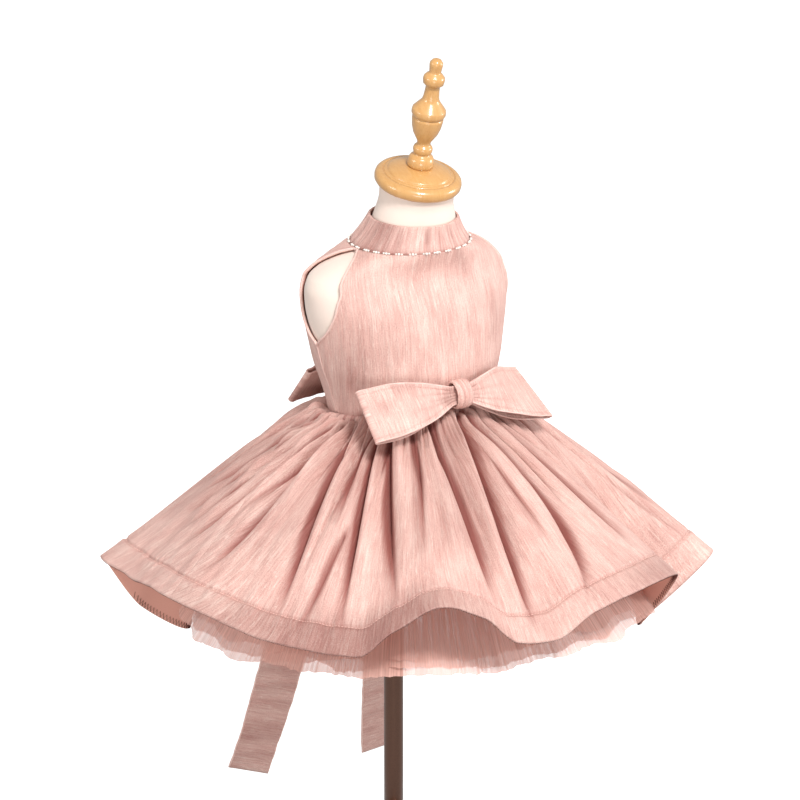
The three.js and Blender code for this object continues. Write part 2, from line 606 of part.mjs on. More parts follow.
// A sash tail lies down the back of the skirt and hangs from its hem.
function sashTail(tail) {
  const { onSkirt, hanging, widening } = TAIL_STEPS;
  const liftOut = tail.lift * TAIL_LIFT_OUT;
  const place = (k) => {
    if (k <= onSkirt) {
      const share = k / onSkirt;
      const way = THREE.MathUtils.lerp(TAIL_START.way, 1, share);
      const out = cubic(way, 0, SKIRT_PUFF.out, SKIRT_FALL.out, 1);
      const down = cubic(way, 0, SKIRT_PUFF.down, SKIRT_FALL.down, 1);
      const angle = THREE.MathUtils.lerp(tail.atKnot, tail.atHem, share);
      const reach = THREE.MathUtils.lerp(TAIL_START.reach, TAIL_HEM.reach, out) + liftOut;
      const height = THREE.MathUtils.lerp(TAIL_START.height, TAIL_HEM.height, down) + tail.lift;
      return aroundEllipse(angle, reach, reach, SKIRT_CENTRE_FORWARD, height);
    }
    const share = (k - onSkirt) / hanging;
    const { by, withinShare, turnPower } = TAIL_HANGS_OUT;
    const angle = THREE.MathUtils.lerp(tail.atHem, tail.atEnd, share ** turnPower);
    const reach = TAIL_HEM.reach + liftOut + by * Math.sqrt(Math.min(1, share / withinShare));
    const height = THREE.MathUtils.lerp(TAIL_HEM.height + tail.lift, tail.endHeight, share);
    return aroundEllipse(angle, reach, reach, SKIRT_CENTRE_FORWARD, height);
  };
  const rows = onSkirt + hanging;
  const centre = new THREE.Vector3(0, -SKIRT_CENTRE_FORWARD, 0);
  const face = (moved) => (u, v) => {
    const k = Math.round(v * rows);
    const point = place(k);
    const tangent = place(Math.min(rows, k + 1)).sub(place(Math.max(0, k - 1))).normalize();
    const radial = point.clone().sub(centre).setZ(0).normalize();
    const across = new THREE.Vector3().crossVectors(tangent, radial).normalize();
    const twist = radians(tail.twist) * Math.max(0, (k - onSkirt) / hanging);
    const turned = across.applyAxisAngle(tangent, twist);
    const normal = new THREE.Vector3().crossVectors(turned, tangent).normalize();
    const widened = THREE.MathUtils.smoothstep(k, 0, widening);
    const width = THREE.MathUtils.lerp(TAIL_NECK_WIDTH, TAIL_WIDTH, widened);
    return point.addScaledVector(turned, (u - 0.5) * width).addScaledVector(normal, moved);
  };
  const shape = { columns: 4, rows, outer: face(RIBBON_CLOTH / 2), inner: face(-RIBBON_CLOTH / 2) };
  return piece(tail.name, clothWall(shape), VELVET);
}

// The dress form: a padded torso, a turned cap and finial on its neck, a post and a round base
function formTorso() {
  const columns = 32;
  const ring = (u, j) => {
    const row = FORM_SECTIONS[j];
    const angle = 360 * u;
    const drop = Math.tan(radians(row.lean)) * row.halfDepth * Math.cos(radians(angle));
    return aroundEllipse(angle, row.halfWidth, row.halfDepth, row.forward, row.height - drop);
  };
  const end = (row) => new THREE.Vector3(0, -row.forward, row.height);
  const rows = FORM_SECTIONS.length - 1;
  const [firstCentre, lastCentre] = [end(FORM_SECTIONS[0]), end(FORM_SECTIONS[rows])];
  return piece("form_torso", ringBody({ columns, rows, ring, firstCentre, lastCentre }), COTTON);
}

function turned(name, profile, segments, look) {
  const points = profile.map(([radius, height]) => new THREE.Vector2(radius, height));
  const geometry = new THREE.LatheGeometry(points, segments).rotateX(Math.PI / 2);
  return piece(name, geometry, look);
}

function neckCapAndFinial() {
  const neckTop = FORM_SECTIONS.at(-1);
  const leaning = new THREE.Group();
  leaning.position.set(0, -neckTop.forward, neckTop.height);
  leaning.rotation.x = radians(NECK_CAP_LEAN);
  const cap = turned("neck_cap", NECK_CAP_PROFILE, 32, BEECH);
  cap.position.z = SEAM_GAP;
  const finial = turned("finial", FINIAL_PROFILE, 18, BEECH);
  finial.position.z = NECK_CAP_PROFILE.at(-1)[1] + 2 * SEAM_GAP;
  leaning.add(cap, finial);
  return leaning;
}

function stand() {
  const { radius, edge, hubRadius, hubHeight } = BASE;
  const baseProfile = [
    [0, 0], [radius, 0], [radius, edge - 2], [radius - 3, edge], [hubRadius + 24, edge + 4],
    [hubRadius, edge + 12], [hubRadius, hubHeight], [0, hubHeight],
  ];
  const postBottom = hubHeight + SEAM_GAP;
  const postTop = FORM_SECTIONS[0].height - SEAM_GAP;
  const postProfile = [[0, postBottom], [POST_RADIUS, postBottom], [POST_RADIUS, postTop], [0, postTop]];
  return [
    turned("stand_base", baseProfile, 40, BRONZED_STEEL),
    turned("stand_post", postProfile, 20, BRONZED_STEEL),
  ];
}

const dress = new THREE.Group();
dress.add(...bodice(), collar(), placket(), ...buttons());
dress.add(skirtPanel("skirt_front", -90), skirtPanel("skirt_back", 90), petticoat());
for (const bow of [FRONT_BOW, BACK_BOW]) {
  dress.add(...bow.loops.map((loop) => bowLoop(bow, loop)), bowKnot(bow));
}
dress.add(...TAILS.map(sashTail));

const form = new THREE.Group();
form.add(formTorso(), neckCapAndFinial(), ...stand());

const group = new THREE.Group();
group.add(dress, form);
export default group;
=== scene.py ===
"""A toddler's party dress of crinkled velvet on a limbless form, from its front right."""

import bmesh
import bpy
import numpy as np
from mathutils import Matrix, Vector


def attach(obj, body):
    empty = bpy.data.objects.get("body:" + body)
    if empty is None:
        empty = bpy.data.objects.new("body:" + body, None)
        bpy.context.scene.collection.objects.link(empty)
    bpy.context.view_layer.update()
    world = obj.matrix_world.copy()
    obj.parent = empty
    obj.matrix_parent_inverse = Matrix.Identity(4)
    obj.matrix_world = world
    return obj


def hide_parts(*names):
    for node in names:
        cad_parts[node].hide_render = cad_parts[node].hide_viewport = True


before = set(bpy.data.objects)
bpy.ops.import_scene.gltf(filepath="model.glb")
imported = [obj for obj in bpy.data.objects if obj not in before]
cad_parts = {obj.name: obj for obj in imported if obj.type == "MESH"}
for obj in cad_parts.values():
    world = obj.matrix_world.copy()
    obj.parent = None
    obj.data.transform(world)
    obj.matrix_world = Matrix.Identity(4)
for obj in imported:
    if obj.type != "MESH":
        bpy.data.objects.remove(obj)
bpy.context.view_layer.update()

# Camera
# A long lens, three metres off, looks down on the dress from its front right.
TURN_DEGREES = -34.0
RISE_DEGREES = 18.5
DISTANCE = 3.0
AIM_HEIGHT = 0.615
AIM_SIDE = 0.007
LENS_MM = 128.6
SENSOR_MM = 36.0

turn = np.radians(TURN_DEGREES)
rise = np.radians(RISE_DEGREES)
towards_camera = Vector(
    (np.sin(turn) * np.cos(rise), -np.cos(turn) * np.cos(rise), np.sin(rise))
)
aim = Vector((AIM_SIDE * np.cos(turn), AIM_SIDE * np.sin(turn), AIM_HEIGHT))
camera = bpy.data.objects.new("camera", bpy.data.cameras.new("camera"))
bpy.context.scene.collection.objects.link(camera)
camera.data.lens = LENS_MM
camera.data.sensor_width = SENSOR_MM
camera.location = aim + towards_camera * DISTANCE
camera.rotation_mode = "QUATERNION"
camera.rotation_quaternion = towards_camera.to_track_quat("Z", "Y")
bpy.context.scene.camera = camera


# Dress form's torso
# A padded child's torso without limbs, covered in cream cotton jersey that is drawn smooth
# over the padding. Its neck leans a little forward and carries the wooden cap.
TORSO_SECTIONS = np.array(
    [
        # height, half width, half depth, forward, lean in degrees
        [548, 82, 66, 28, 0],
        [556, 89, 73, 28, 0],
        [578, 90, 74, 29, 0],
        [602, 86, 69, 30.5, 0],
        [626, 86, 69, 31, 0],
        [650, 92.5, 74, 29.5, 0],
        [677, 100.5, 78.5, 26.5, 0],
        [705, 106.5, 78.5, 24, 0],
        [735, 112.6, 74.4, 22, 0],
        [752, 114, 68, 20.5, 0],
        [765, 110.8, 61.5, 19.8, 0],
        [775, 100.5, 58, 21.5, 0],
        [784, 84.5, 56.5, 25, 0],
        [791, 68.5, 55, 28.5, 0],
        [798, 55, 52.5, 31, 0],
        [812, 46, 45.5, 35, 1],
        [830, 41, 40, 39.5, 4],
        [844, 38, 37.5, 42, 9],
        [857, 38, 37.5, 43.5, 14.5],
    ]
)
TORSO_COLUMNS = 104
TORSO_ROWS = 120
JERSEY = "#f0e0d4"
JERSEY_SHADE = "#e5cebf"
# coarser than a real rib, so that it shows
JERSEY_RIB_MM = 0.7
JERSEY_CLOUDS_PER_M = 14.0


def linear(hexadecimal, alpha=1.0):
    """A colour's linear values from its sRGB hex value."""
    channels = [int(hexadecimal[k : k + 2], 16) / 255 for k in (1, 3, 5)]
    values = [
        c / 12.92 if c <= 0.04045 else ((c + 0.055) / 1.055) ** 2.4 for c in channels
    ]
    return (*values, alpha)


def add_node(tree, kind, settings=None, inputs=None):
    """Adds a node, sets its properties, and fills or links its inputs."""
    made = tree.nodes.new(kind)
    for name, value in (settings or {}).items():
        setattr(made, name, value)
    for key, value in (inputs or {}).items():
        if isinstance(value, bpy.types.NodeSocket):
            tree.links.new(value, made.inputs[key])
        else:
            made.inputs[key].default_value = value
    return made


def new_material(name, finish):
    """An empty material's node tree with its Principled shader, which takes the values of
    the finish, joined to the output."""
    material = bpy.data.materials.new(name)
    material.use_nodes = True
    tree = material.node_tree
    tree.nodes.clear()
    shader = add_node(tree, "ShaderNodeBsdfPrincipled", inputs=finish)
    add_node(tree, "ShaderNodeOutputMaterial", inputs={"Surface": shader.outputs["BSDF"]})
    return material, tree, shader


def noise_finish(tree, shader, place, scale, detail, colours=None, relief=None):
    """A pattern of noise on a shader. It mixes two close colours, and tips the light as a
    relief would that has the given strength and depth in metres."""
    noise = add_node(
        tree,
        "ShaderNodeTexNoise",
        inputs={"Vector": place, "Scale": scale, "Detail": detail},
    ).outputs["Fac"]
    if colours:
        mix = {"Factor": noise, "A": linear(colours[0]), "B": linear(colours[1])}
        colour = add_node(tree, "ShaderNodeMix", {"data_type": "RGBA"}, mix)
        tree.links.new(colour.outputs["Result"], shader.inputs["Base Color"])
    if relief:
        height = {"Height": noise, "Strength": relief[0], "Distance": relief[1]}
        bump = add_node(tree, "ShaderNodeBump", inputs=height)
        tree.links.new(bump.outputs["Normal"], shader.inputs["Normal"])


def eased(share):
    """A share eased at both its ends: three squares less two cubes."""
    return share * share * (3 - 2 * share)


def together(*parts):
    """Arrays spread over one grid and set side by side along a last axis."""
    return np.stack(np.broadcast_arrays(*parts), axis=-1)


def smooth_through(places, values, at):
    """Piecewise cubics through table rows. A row's slope is the harmonic mean of the rises
    on its two sides, or nought where they turn, so the curve never overshoots."""
    step = np.diff(places)
    rises = np.diff(values) / step
    product = rises[:-1] * rises[1:]
    total = rises[:-1] + rises[1:]
    inner = np.where(product > 0, 2 * product / np.where(total == 0, 1, total), 0)
    slopes = np.concatenate(([rises[0]], inner, [rises[-1]]))
    at = np.clip(at, places[0], places[-1])
    k = np.clip(np.searchsorted(places, at, side="right") - 1, 0, len(step) - 1)
    s = (at - places[k]) / step[k]
    ease = eased(s)
    pull_start = s * (1 - s) ** 2 * step[k] * slopes[k]
    pull_end = s * s * (s - 1) * step[k] * slopes[k + 1]
    return values[k] * (1 - ease) + values[k + 1] * ease + pull_start + pull_end


def around(angle, half_width, half_depth, forward, height):
    """Points of an ellipse, in millimetres: x is the sine and y minus the cosine of the angle
    from the front, times the half sizes, with the centre that far in front of the post."""
    a = np.radians(angle)
    return together(half_width * np.sin(a), -forward - half_depth * np.cos(a), height)


def smooth_piece(name, mesh, material):
    """A piece made of a mesh, shaded smooth, in one material."""
    mesh.polygons.foreach_set("use_smooth", np.ones(len(mesh.polygons), dtype=bool))
    mesh.materials.append(material)
    mesh.update()
    made = bpy.data.objects.new(name, mesh)
    bpy.context.scene.collection.objects.link(made)
    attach(made, "root")
    return made


def grid_piece(
    name, points, material, uv=None, fold=None, pile=0.0, closed=False, flip=False, caps=False
):
    """A mesh over a grid of points in millimetres, one quad for each cell. Rows run along the
    first axis. A closed grid's last column is its first. Caps close the first and last rows.
    uv is the place on the cloth in metres. fold is how much painted shade lies on it in its folds,
    seams and stitches, and pile is how much painted shade lies on it where its pile is turned from
    the light, both from 0 to 1."""
    rows, columns = points.shape[0] - 1, points.shape[1] - 1
    across = columns if closed else columns + 1
    j, i = np.meshgrid(np.arange(rows), np.arange(columns), indexing="ij")
    corners = [(j, i), (j, i + 1), (j + 1, i + 1), (j + 1, i)]
    if flip:
        corners = corners[::-1]
    faces = [row * across + column % across for row, column in corners]
    face_list = np.stack(faces, axis=-1).reshape(-1, 4).tolist()
    if caps:
        first = list(range(across))
        last = [rows * across + k for k in range(across)]
        face_list += [first if flip else first[::-1], last[::-1] if flip else last]
    mesh = bpy.data.meshes.new(name)
    vertices = points[:, :across].reshape(-1, 3) / 1000
    mesh.from_pydata(vertices.tolist(), [], face_list)
    layers = {} if uv is None else {"cloth": uv}
    if fold is not None:
        layers["fold"] = together(fold, pile)
    for layer_name, place in layers.items():
        values = np.stack([place[row, column] for row, column in corners], axis=-2)
        full = np.zeros(2 * len(mesh.loops), dtype=np.float32)
        full[: values.size] = values.ravel()
        mesh.uv_layers.new(name=layer_name).data.foreach_set("uv", full)
    return smooth_piece(name, mesh, material)


def cotton_jersey():
    """Matt cotton jersey: a fine rib, a soft low sheen and slight shading where it is handled."""
    finish = {"Roughness": 0.85, "Sheen Weight": 0.2}
    material, tree, shader = new_material("cotton_jersey", finish)
    place = add_node(tree, "ShaderNodeTexCoord").outputs["Object"]
    noise_finish(tree, shader, place, 1000 / JERSEY_RIB_MM, 2.0, relief=(0.25, 0.0003))
    colours = (JERSEY, JERSEY_SHADE)
    noise_finish(tree, shader, place, JERSEY_CLOUDS_PER_M, 3.0, colours)
    return material


def torso_rings(columns, rows):
    """Rings of the torso: the table's ellipses at evenly spaced steps along it, each tilted
    so that its front is lower by the tangent of its lean times its depth."""
    place = np.linspace(0, len(TORSO_SECTIONS) - 1, rows + 1)
    index = np.arange(len(TORSO_SECTIONS), dtype=float)
    height, half_width, half_depth, forward, lean = (
        smooth_through(index, TORSO_SECTIONS[:, k], place)[:, None] for k in range(5)
    )
    angle = np.linspace(0, 360, columns + 1)[None, :]
    drop = np.tan(np.radians(lean)) * half_depth * np.cos(np.radians(angle))
    return around(angle, half_width, half_depth, forward, height - drop)


torso = grid_piece(
    "form_torso_cover",
    torso_rings(TORSO_COLUMNS, TORSO_ROWS),
    cotton_jersey(),
    closed=True,
    caps=True,
)
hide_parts("form_torso")


# Neck cap and finial
# Two beech turnings: a flat cap with a stepped rim on the neck, and a vase-shaped finial on it,
# lacquered clear. Both lean forward with the neck.
LEAN_DEGREES = 14.5
CAP_SEAT = np.array([0, -43.5, 857.3])
FINIAL_SEAT = 21.1
CAP_PROFILE = np.array(
    [
        [0, 0], [40, 0], [42.6, 0.7], [44.2, 3], [44.6, 6.5], [43.9, 9.4],
        [42, 11.6], [39.4, 12.8], [37, 13.2], [36.6, 12.7], [36, 12.7], [35.6, 13.5],
        [33, 13.9], [32.4, 14.2], [31.9, 15.6], [30.6, 16.5], [27, 17.9], [22, 19.5],
        [13, 20.8], [0, 20.8],
    ]
)
FINIAL_PROFILE = np.array(
    [
        [0, 0], [12.6, 0], [13.5, 1.6], [13.8, 4.5], [13.2, 8], [11.6, 11],
        [9.4, 12.6], [8.6, 13.6], [8.4, 14.5], [9.2, 15.4], [9.9, 17.4], [10, 19.5],
        [9.4, 21.6], [8, 23.2], [7.2, 24.2], [6.8, 26], [7.6, 28.6], [9.6, 31.8],
        [12.6, 37], [14.8, 44], [15.8, 51], [15.9, 53.6], [15.2, 54.6], [15.2, 55.5],
        [16.2, 56.2], [17.3, 58.4], [17.4, 60.6], [17, 63.2], [16.2, 64.2], [14.4, 66.4],
        [11.4, 70], [8.9, 73.2], [8, 77], [7.4, 83], [7.2, 88.4], [8.2, 89.4],
        [10.4, 91.2], [11.1, 95.5], [10.6, 98.4], [8.4, 101], [6.4, 102.6], [6, 103.5],
        [6.3, 107], [6.8, 111], [6.6, 113.6], [4.4, 116.6], [2, 117.5], [0, 117.5],
    ]
)
TURNED_COLUMNS = 72
BEECH_LIGHT = "#d9ab70"
BEECH_MID = "#c68f4e"
BEECH_DARK = "#a86e33"
# size across in mm, shares of it that count along x, y and z, and detail
BEECH_GRAIN = (2.4, (1.0, 0.3, 0.05), 4.0)
BEECH_FLECK = (0.8, (1.0, 1.0, 0.14), 2.0)
BEECH_FLECK_RANGE = (0.56, 0.72)
BEECH_FLECK_SHARE = 0.35


def refined(profile, steps):
    """A profile with straight lines cut into steps, so that a smooth face keeps its edges."""
    place = np.arange(len(profile), dtype=float)
    at = np.linspace(0, len(profile) - 1, (len(profile) - 1) * steps + 1)
    return np.stack([np.interp(at, place, profile[:, k]) for k in range(2)], axis=-1)


def turned_piece(name, profile, material, seat=(0, 0, 0), lean=0.0, along=0.0):
    """A profile of radius and height carried once round the axis, leaned forward, and moved
    to its seat. Poles are closed by merging their ring."""
    angle = np.linspace(0, 2 * np.pi, TURNED_COLUMNS + 1)[None, :]
    radius, height = profile[:, :1], profile[:, 1:] + along
    x, y, z = np.broadcast_arrays(radius * np.sin(angle), -radius * np.cos(angle), height)
    a = np.radians(lean)
    leaned = together(x, y * np.cos(a) - z * np.sin(a), y * np.sin(a) + z * np.cos(a))
    made = grid_piece(name, leaned + np.array(seat), material, closed=True)
    work = bmesh.new()
    work.from_mesh(made.data)
    bmesh.ops.remove_doubles(work, verts=work.verts, dist=1e-6)
    work.to_mesh(made.data)
    work.free()
    return made


def lacquered_beech():
    """Turned beech under clear lacquer: soft growth lines, short dark flecks, a clear gloss."""
    finish = {"Roughness": 0.36, "Coat Weight": 0.7, "Coat Roughness": 0.14}
    material, tree, shader = new_material("lacquered_beech", finish)
    place = add_node(tree, "ShaderNodeTexCoord").outputs["Object"]
    patterns = []
    for across_mm, shares, detail in (BEECH_GRAIN, BEECH_FLECK):
        scale = tuple(1000 / across_mm * share for share in shares)
        drawn = add_node(
            tree, "ShaderNodeMapping", inputs={"Vector": place, "Scale": scale}
        )
        noise = {"Vector": drawn.outputs["Vector"], "Scale": 1.0, "Detail": detail}
        patterns.append(add_node(tree, "ShaderNodeTexNoise", inputs=noise).outputs["Fac"])
    grain, fleck = patterns
    growth = add_node(tree, "ShaderNodeValToRGB", inputs={"Fac": grain})
    for element, colour in zip(growth.color_ramp.elements, (BEECH_MID, BEECH_LIGHT)):
        element.color = linear(colour)
    start, end = BEECH_FLECK_RANGE
    flecks = add_node(
        tree,
        "ShaderNodeMapRange",
        inputs={
            "Value": fleck,
            "From Min": start,
            "From Max": end,
            "To Max": BEECH_FLECK_SHARE,
        },
    )
    mix = {"Factor": flecks.outputs["Result"], "A": growth.outputs["Color"]}
    mix["B"] = linear(BEECH_DARK)
    colour = add_node(tree, "ShaderNodeMix", {"data_type": "RGBA"}, mix)
    relief = add_node(
        tree,
        "ShaderNodeBump",
        inputs={"Height": fleck, "Strength": 0.12, "Distance": 0.0003},
    )
    tree.links.new(colour.outputs["Result"], shader.inputs["Base Color"])
    tree.links.new(relief.outputs["Normal"], shader.inputs["Normal"])
    return material


beech = lacquered_beech()
cap = turned_piece(
    "neck_cap_turning", refined(CAP_PROFILE, 2), beech, CAP_SEAT, LEAN_DEGREES
)
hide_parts("neck_cap")
finial = turned_piece(
    "finial_turning",
    refined(FINIAL_PROFILE, 2),
    beech,
    CAP_SEAT,
    LEAN_DEGREES,
    along=FINIAL_SEAT,
)
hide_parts("finial")


# Post and base
# A steel tube in a pressed round base with a collar, both finished in a glossy dark bronze paint.
POST_RADIUS = 10.5
POST_BOTTOM = 30.3
POST_TOP = 547.7
BASE_PROFILE = np.array(
    [
        [0, 0], [148.6, 0], [149.8, 1.2], [150, 4], [149.2, 6.4], [147, 8],
        [120, 8.6], [80, 10], [44, 12], [30, 14.6], [24, 17.4], [21, 20],
        [20, 23], [20, 28.4], [19, 29.6], [17.6, 30], [0, 30],
    ]
)
BRONZE_PAINT = "#5b3b2c"
BRONZE_PAINT_LIGHT = "#76513d"
# coarser than real metal flakes, so that they show
BRONZE_FLECKS_PER_MM = 0.9


def bronze_paint():
    """Dark bronze enamel on steel: an even brown with a faint metal fleck, under a clear gloss."""
    finish = {"Metallic": 0.55, "Roughness": 0.32, "Coat Weight": 0.6, "Coat Roughness": 0.1}
    material, tree, shader = new_material("bronze_enamel", finish)
    place = add_node(tree, "ShaderNodeTexCoord").outputs["Object"]
    colours = (BRONZE_PAINT, BRONZE_PAINT_LIGHT)
    scale = 1000 * BRONZE_FLECKS_PER_MM
    noise_finish(tree, shader, place, scale, 2.0, colours, (0.05, 0.0002))
    return material


bronze = bronze_paint()
base = turned_piece("stand_base_pressing", refined(BASE_PROFILE, 2), bronze)
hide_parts("stand_base")
post_profile = np.array(
    [[0, POST_BOTTOM], [POST_RADIUS, POST_BOTTOM], [POST_RADIUS, POST_TOP], [0, POST_TOP]]
)
post = turned_piece("stand_post_tube", refined(post_profile, 3), bronze)
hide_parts("stand_post")


# Skirt
# One full width of crinkled velvet gathered into the waist, with its grain running down and a
# wide hem turned up and stitched. It stands out in waves over the petticoat.
HEM_WAVES = np.array(
    [
        # angle, reach, height
        [-172, 276, 384],
        [-155, 306, 414],
        [-138, 246, 340],
        [-130, 288, 378],
        [-123, 324, 449],
        [-112, 298, 450],
        [-98, 288, 462],
        [-78, 290, 468],
        [-61, 303, 466],
        [-43, 315, 467],
        [-37, 316, 493],
        [-28, 318, 519],
        [-21, 316, 506],
        [-14, 311, 473],
        [-7, 306, 467],
        [3, 308, 489],
        [16, 312, 496],
        [28, 306, 484],
        [46, 245, 388],
        [59, 324, 447],
        [78, 272, 398],
        [97, 312, 432],
        [117, 270, 386],
        [136, 308, 418],
        [153, 274, 386],
        [171, 306, 412],
    ],
    dtype=float,
)
HEM_REACH = 298
HEM_HEIGHT = 440
HEM_FRONT_RISE = 22
SWELL_POWER = 0.9
WAIST_HEIGHT = 626
WAIST_FRONT_RISE = 10
WAIST_FORWARD = 31
SKIRT_FORWARD = 28
SHIFTED_BY_WAY = 0.25
PUFF_OUT = 0.2
PUFF_DOWN = -0.03
PUFF_PRESSED = 0.09
FALL_OUT = 0.73
FALL_DOWN = 0.66
SEAM_GAP = 0.3
BODICE_SECTIONS = np.array(
    [
        # height, half width, half depth, forward
        [600, 89, 72, 31],
        [626, 90.5, 73, 31],
        [650, 96, 77.5, 29.5],
        [677, 104, 82, 26.5],
        [705, 110, 82, 24],
        [735, 116, 78, 22],
        [752, 118, 72, 20.5],
        [765, 116, 66, 19.8],
        [775, 107, 62.5, 21.5],
        [784, 93, 60.5, 25],
        [791, 79, 60, 28],
        [797, 63, 60.5, 30],
    ]
)
MAIN_CREASES = np.array(
    [
        # starts, ends, angle at start, angle at middle, angle at end, depth, width in mm,
        # and the side that lies under: 1 to the wearer's left, -1 to the right, 0 both
        [0.0, 0.60, -77, -80, -87, 16, 8, -1],
        [0.0, 0.86, -81, -90, -104, 22, 11, -1],
        [0.0, 0.80, -86, -96, -110, 20, 9, -1],
        [0.0, 0.74, -92, -102, -114, 18, 9, -1],
        [0.0, 0.66, -98, -107, -116, 14, 8, -1],
        [0.0, 0.54, -79.5, -84, -91, 13, 7, -1],
        [0.0, 0.48, -75, -76, -79, 12, 6, -1],
        [0.0, 0.88, -73, -78, -86, 25, 13, -1],
        [0.0, 0.44, -70, -69, -69, 12, 7, -1],
        [0.0, 0.92, -66, -63.5, -60.5, 30, 17, -1],
        [0.0, 0.44, -60, -58, -56, 12, 9, -1],
        [0.0, 0.94, -52, -49, -47, 22, 11, -1],
        [0.0, 0.90, -46, -40, -36, 25, 13, -1],
        [0.0, 0.90, -24, -18, -17.5, 25, 16, 1],
        [0.0, 0.99, 2, -6.5, -10, 25, 13, 1],
        [0.0, 0.97, 7, 11, 1, 27, 19, 1],
        [0.05, 0.86, 26, 24, 22, 19, 18, 1],
        [0.0, 0.74, 37, 36, 38, 18, 14, 1],
        [0.0, 0.62, 31, 31, 31, 9, 6, 0],
        [0.0, 0.70, 16, 18, 14, 9, 7, 1],
        [0.0, 0.64, -57, -56, -54, 9, 6, 0],
        [0.1, 0.80, 44, 46, 50, 11, 7, 0],
        [0.0, 0.92, 49, 53, 57, 10, 6, 1],
        [0.0, 0.88, 56, 61, 66, 10, 6, 1],
        [0.0, 0.92, 64, 70, 76, 10, 6, 1],
        [0.0, 0.50, -34, -31, -29, 9, 9, 0],
        [0.0, 0.42, -13, -12, -13, 9, 9, 0],
        [0.55, 0.97, -52, -54, -56, 9, 12, 0],
    ]
)
PLAIN_FRONT = (-140.0, 50.0)
HIDDEN_CREASES = 15
DEEPEST = 30.0
SMALL_GATHERS = 96
MIDDLE_GATHERS = 34
HEM_BAND = 0.885
HEM_STITCH_MM = 3.4
SKIRT_COLUMNS = 700
SKIRT_WAYS = np.concatenate(
    [
        np.linspace(0, 0.03, 5)[:-1],
        np.linspace(0.03, 0.855, 40)[:-1],
        np.linspace(0.855, 0.915, 15)[:-1],
        np.linspace(0.915, 1, 8),
    ]
)
SKIRT_THICKNESS = 1.4
SKIRT_CLOTH_M = 0.3
SKIRT_SEED = 7
# Painted shade of the skirt: how its folds, waist seam and hem stitches darken the colour.
FOLD_LOCAL_MM = 5.5
FOLD_WIDE_MM = 26.0
FOLD_NEAR_BY_MM = (-16, -11, -6, 6, 11, 16)
FOLD_LOCAL_SHARE = 0.8
FOLD_WIDE_SHARE = 0.45
SEAM_SHADE = 0.5
STITCH_SHADE = 0.3

VELVET = "#e2b4a8"
VELVET_LIGHT = "#f7dacd"
VELVET_DEEP = "#c18d83"
# painted shade: the colour down in folds, and the colour that cloth whose pile is turned from the
# light is multiplied by
VELVET_FOLD_SHADE = "#97564d"
PILE_SHADE_COLOUR = "#baa7a5"
# where painted pile shade lies on the skirt: strokes over the hem's front, which faces down out of
# the light, a band of the hem and random patches
PILE_SHADE_STROKES = [
    # how far turned, angle and width in degrees, starts at way, and full how much later
    (0.9, -40, 19, 0.8, 0.1),
    (0.5, 22, 16, 0.85, 0.08),
]
PILE_HEM_SHADE = (0.35, -70, 45)
PILE_SHADE_PATCHES = 0.55
CRINKLE_MM = 1.4
CRINKLE_LONG_MM = 46.0
BROAD_CRINKLE_MM = 9.0
PATCH_MM = 26.0
GRAIN_MM = 0.8
STREAKS = [
    # mm across and along, detail, how far it wanders in metres, and weight in the tone
    (CRINKLE_MM, CRINKLE_LONG_MM, 3.0, 0.005, 0.65),
    (BROAD_CRINKLE_MM, 2.2 * CRINKLE_LONG_MM, 2.0, 0.012, 0.25),
    (GRAIN_MM, 1.6 * GRAIN_MM, 2.0, 0.0, 0.8),
    (PATCH_MM, 1.7 * PATCH_MM, 3.0, 0.01, 0.45),
]
LINE_STREAKS = (2.6 * CRINKLE_MM, 1.5 * CRINKLE_LONG_MM, 2.0, 0.008)
LINE_LEVELS = [(0.5, 0.02), (0.42, 0.018)]
TONE_RANGE = (0.79, 1.37)
CRINKLE_RANGE = (0.3, 0.7)
# a painted glint along the pressed lines and painted shade along the low lines
PRESSED_GLINT_SHARE = 0.7
LOW_LINE_SHADE_SHARE = 0.6
PRESSED_HEIGHT = 0.28
VELVET_FINISH = {
    "Specular IOR Level": 0.55,
    "Sheen Weight": 0.25,
    "Sheen Roughness": 0.35,
    "Sheen Tint": linear("#ffd9cf"),
}
WRONG_SIDE = ("#e39c89", "#f0b5a3")
KNIT_STITCHES_PER_MM = 0.9


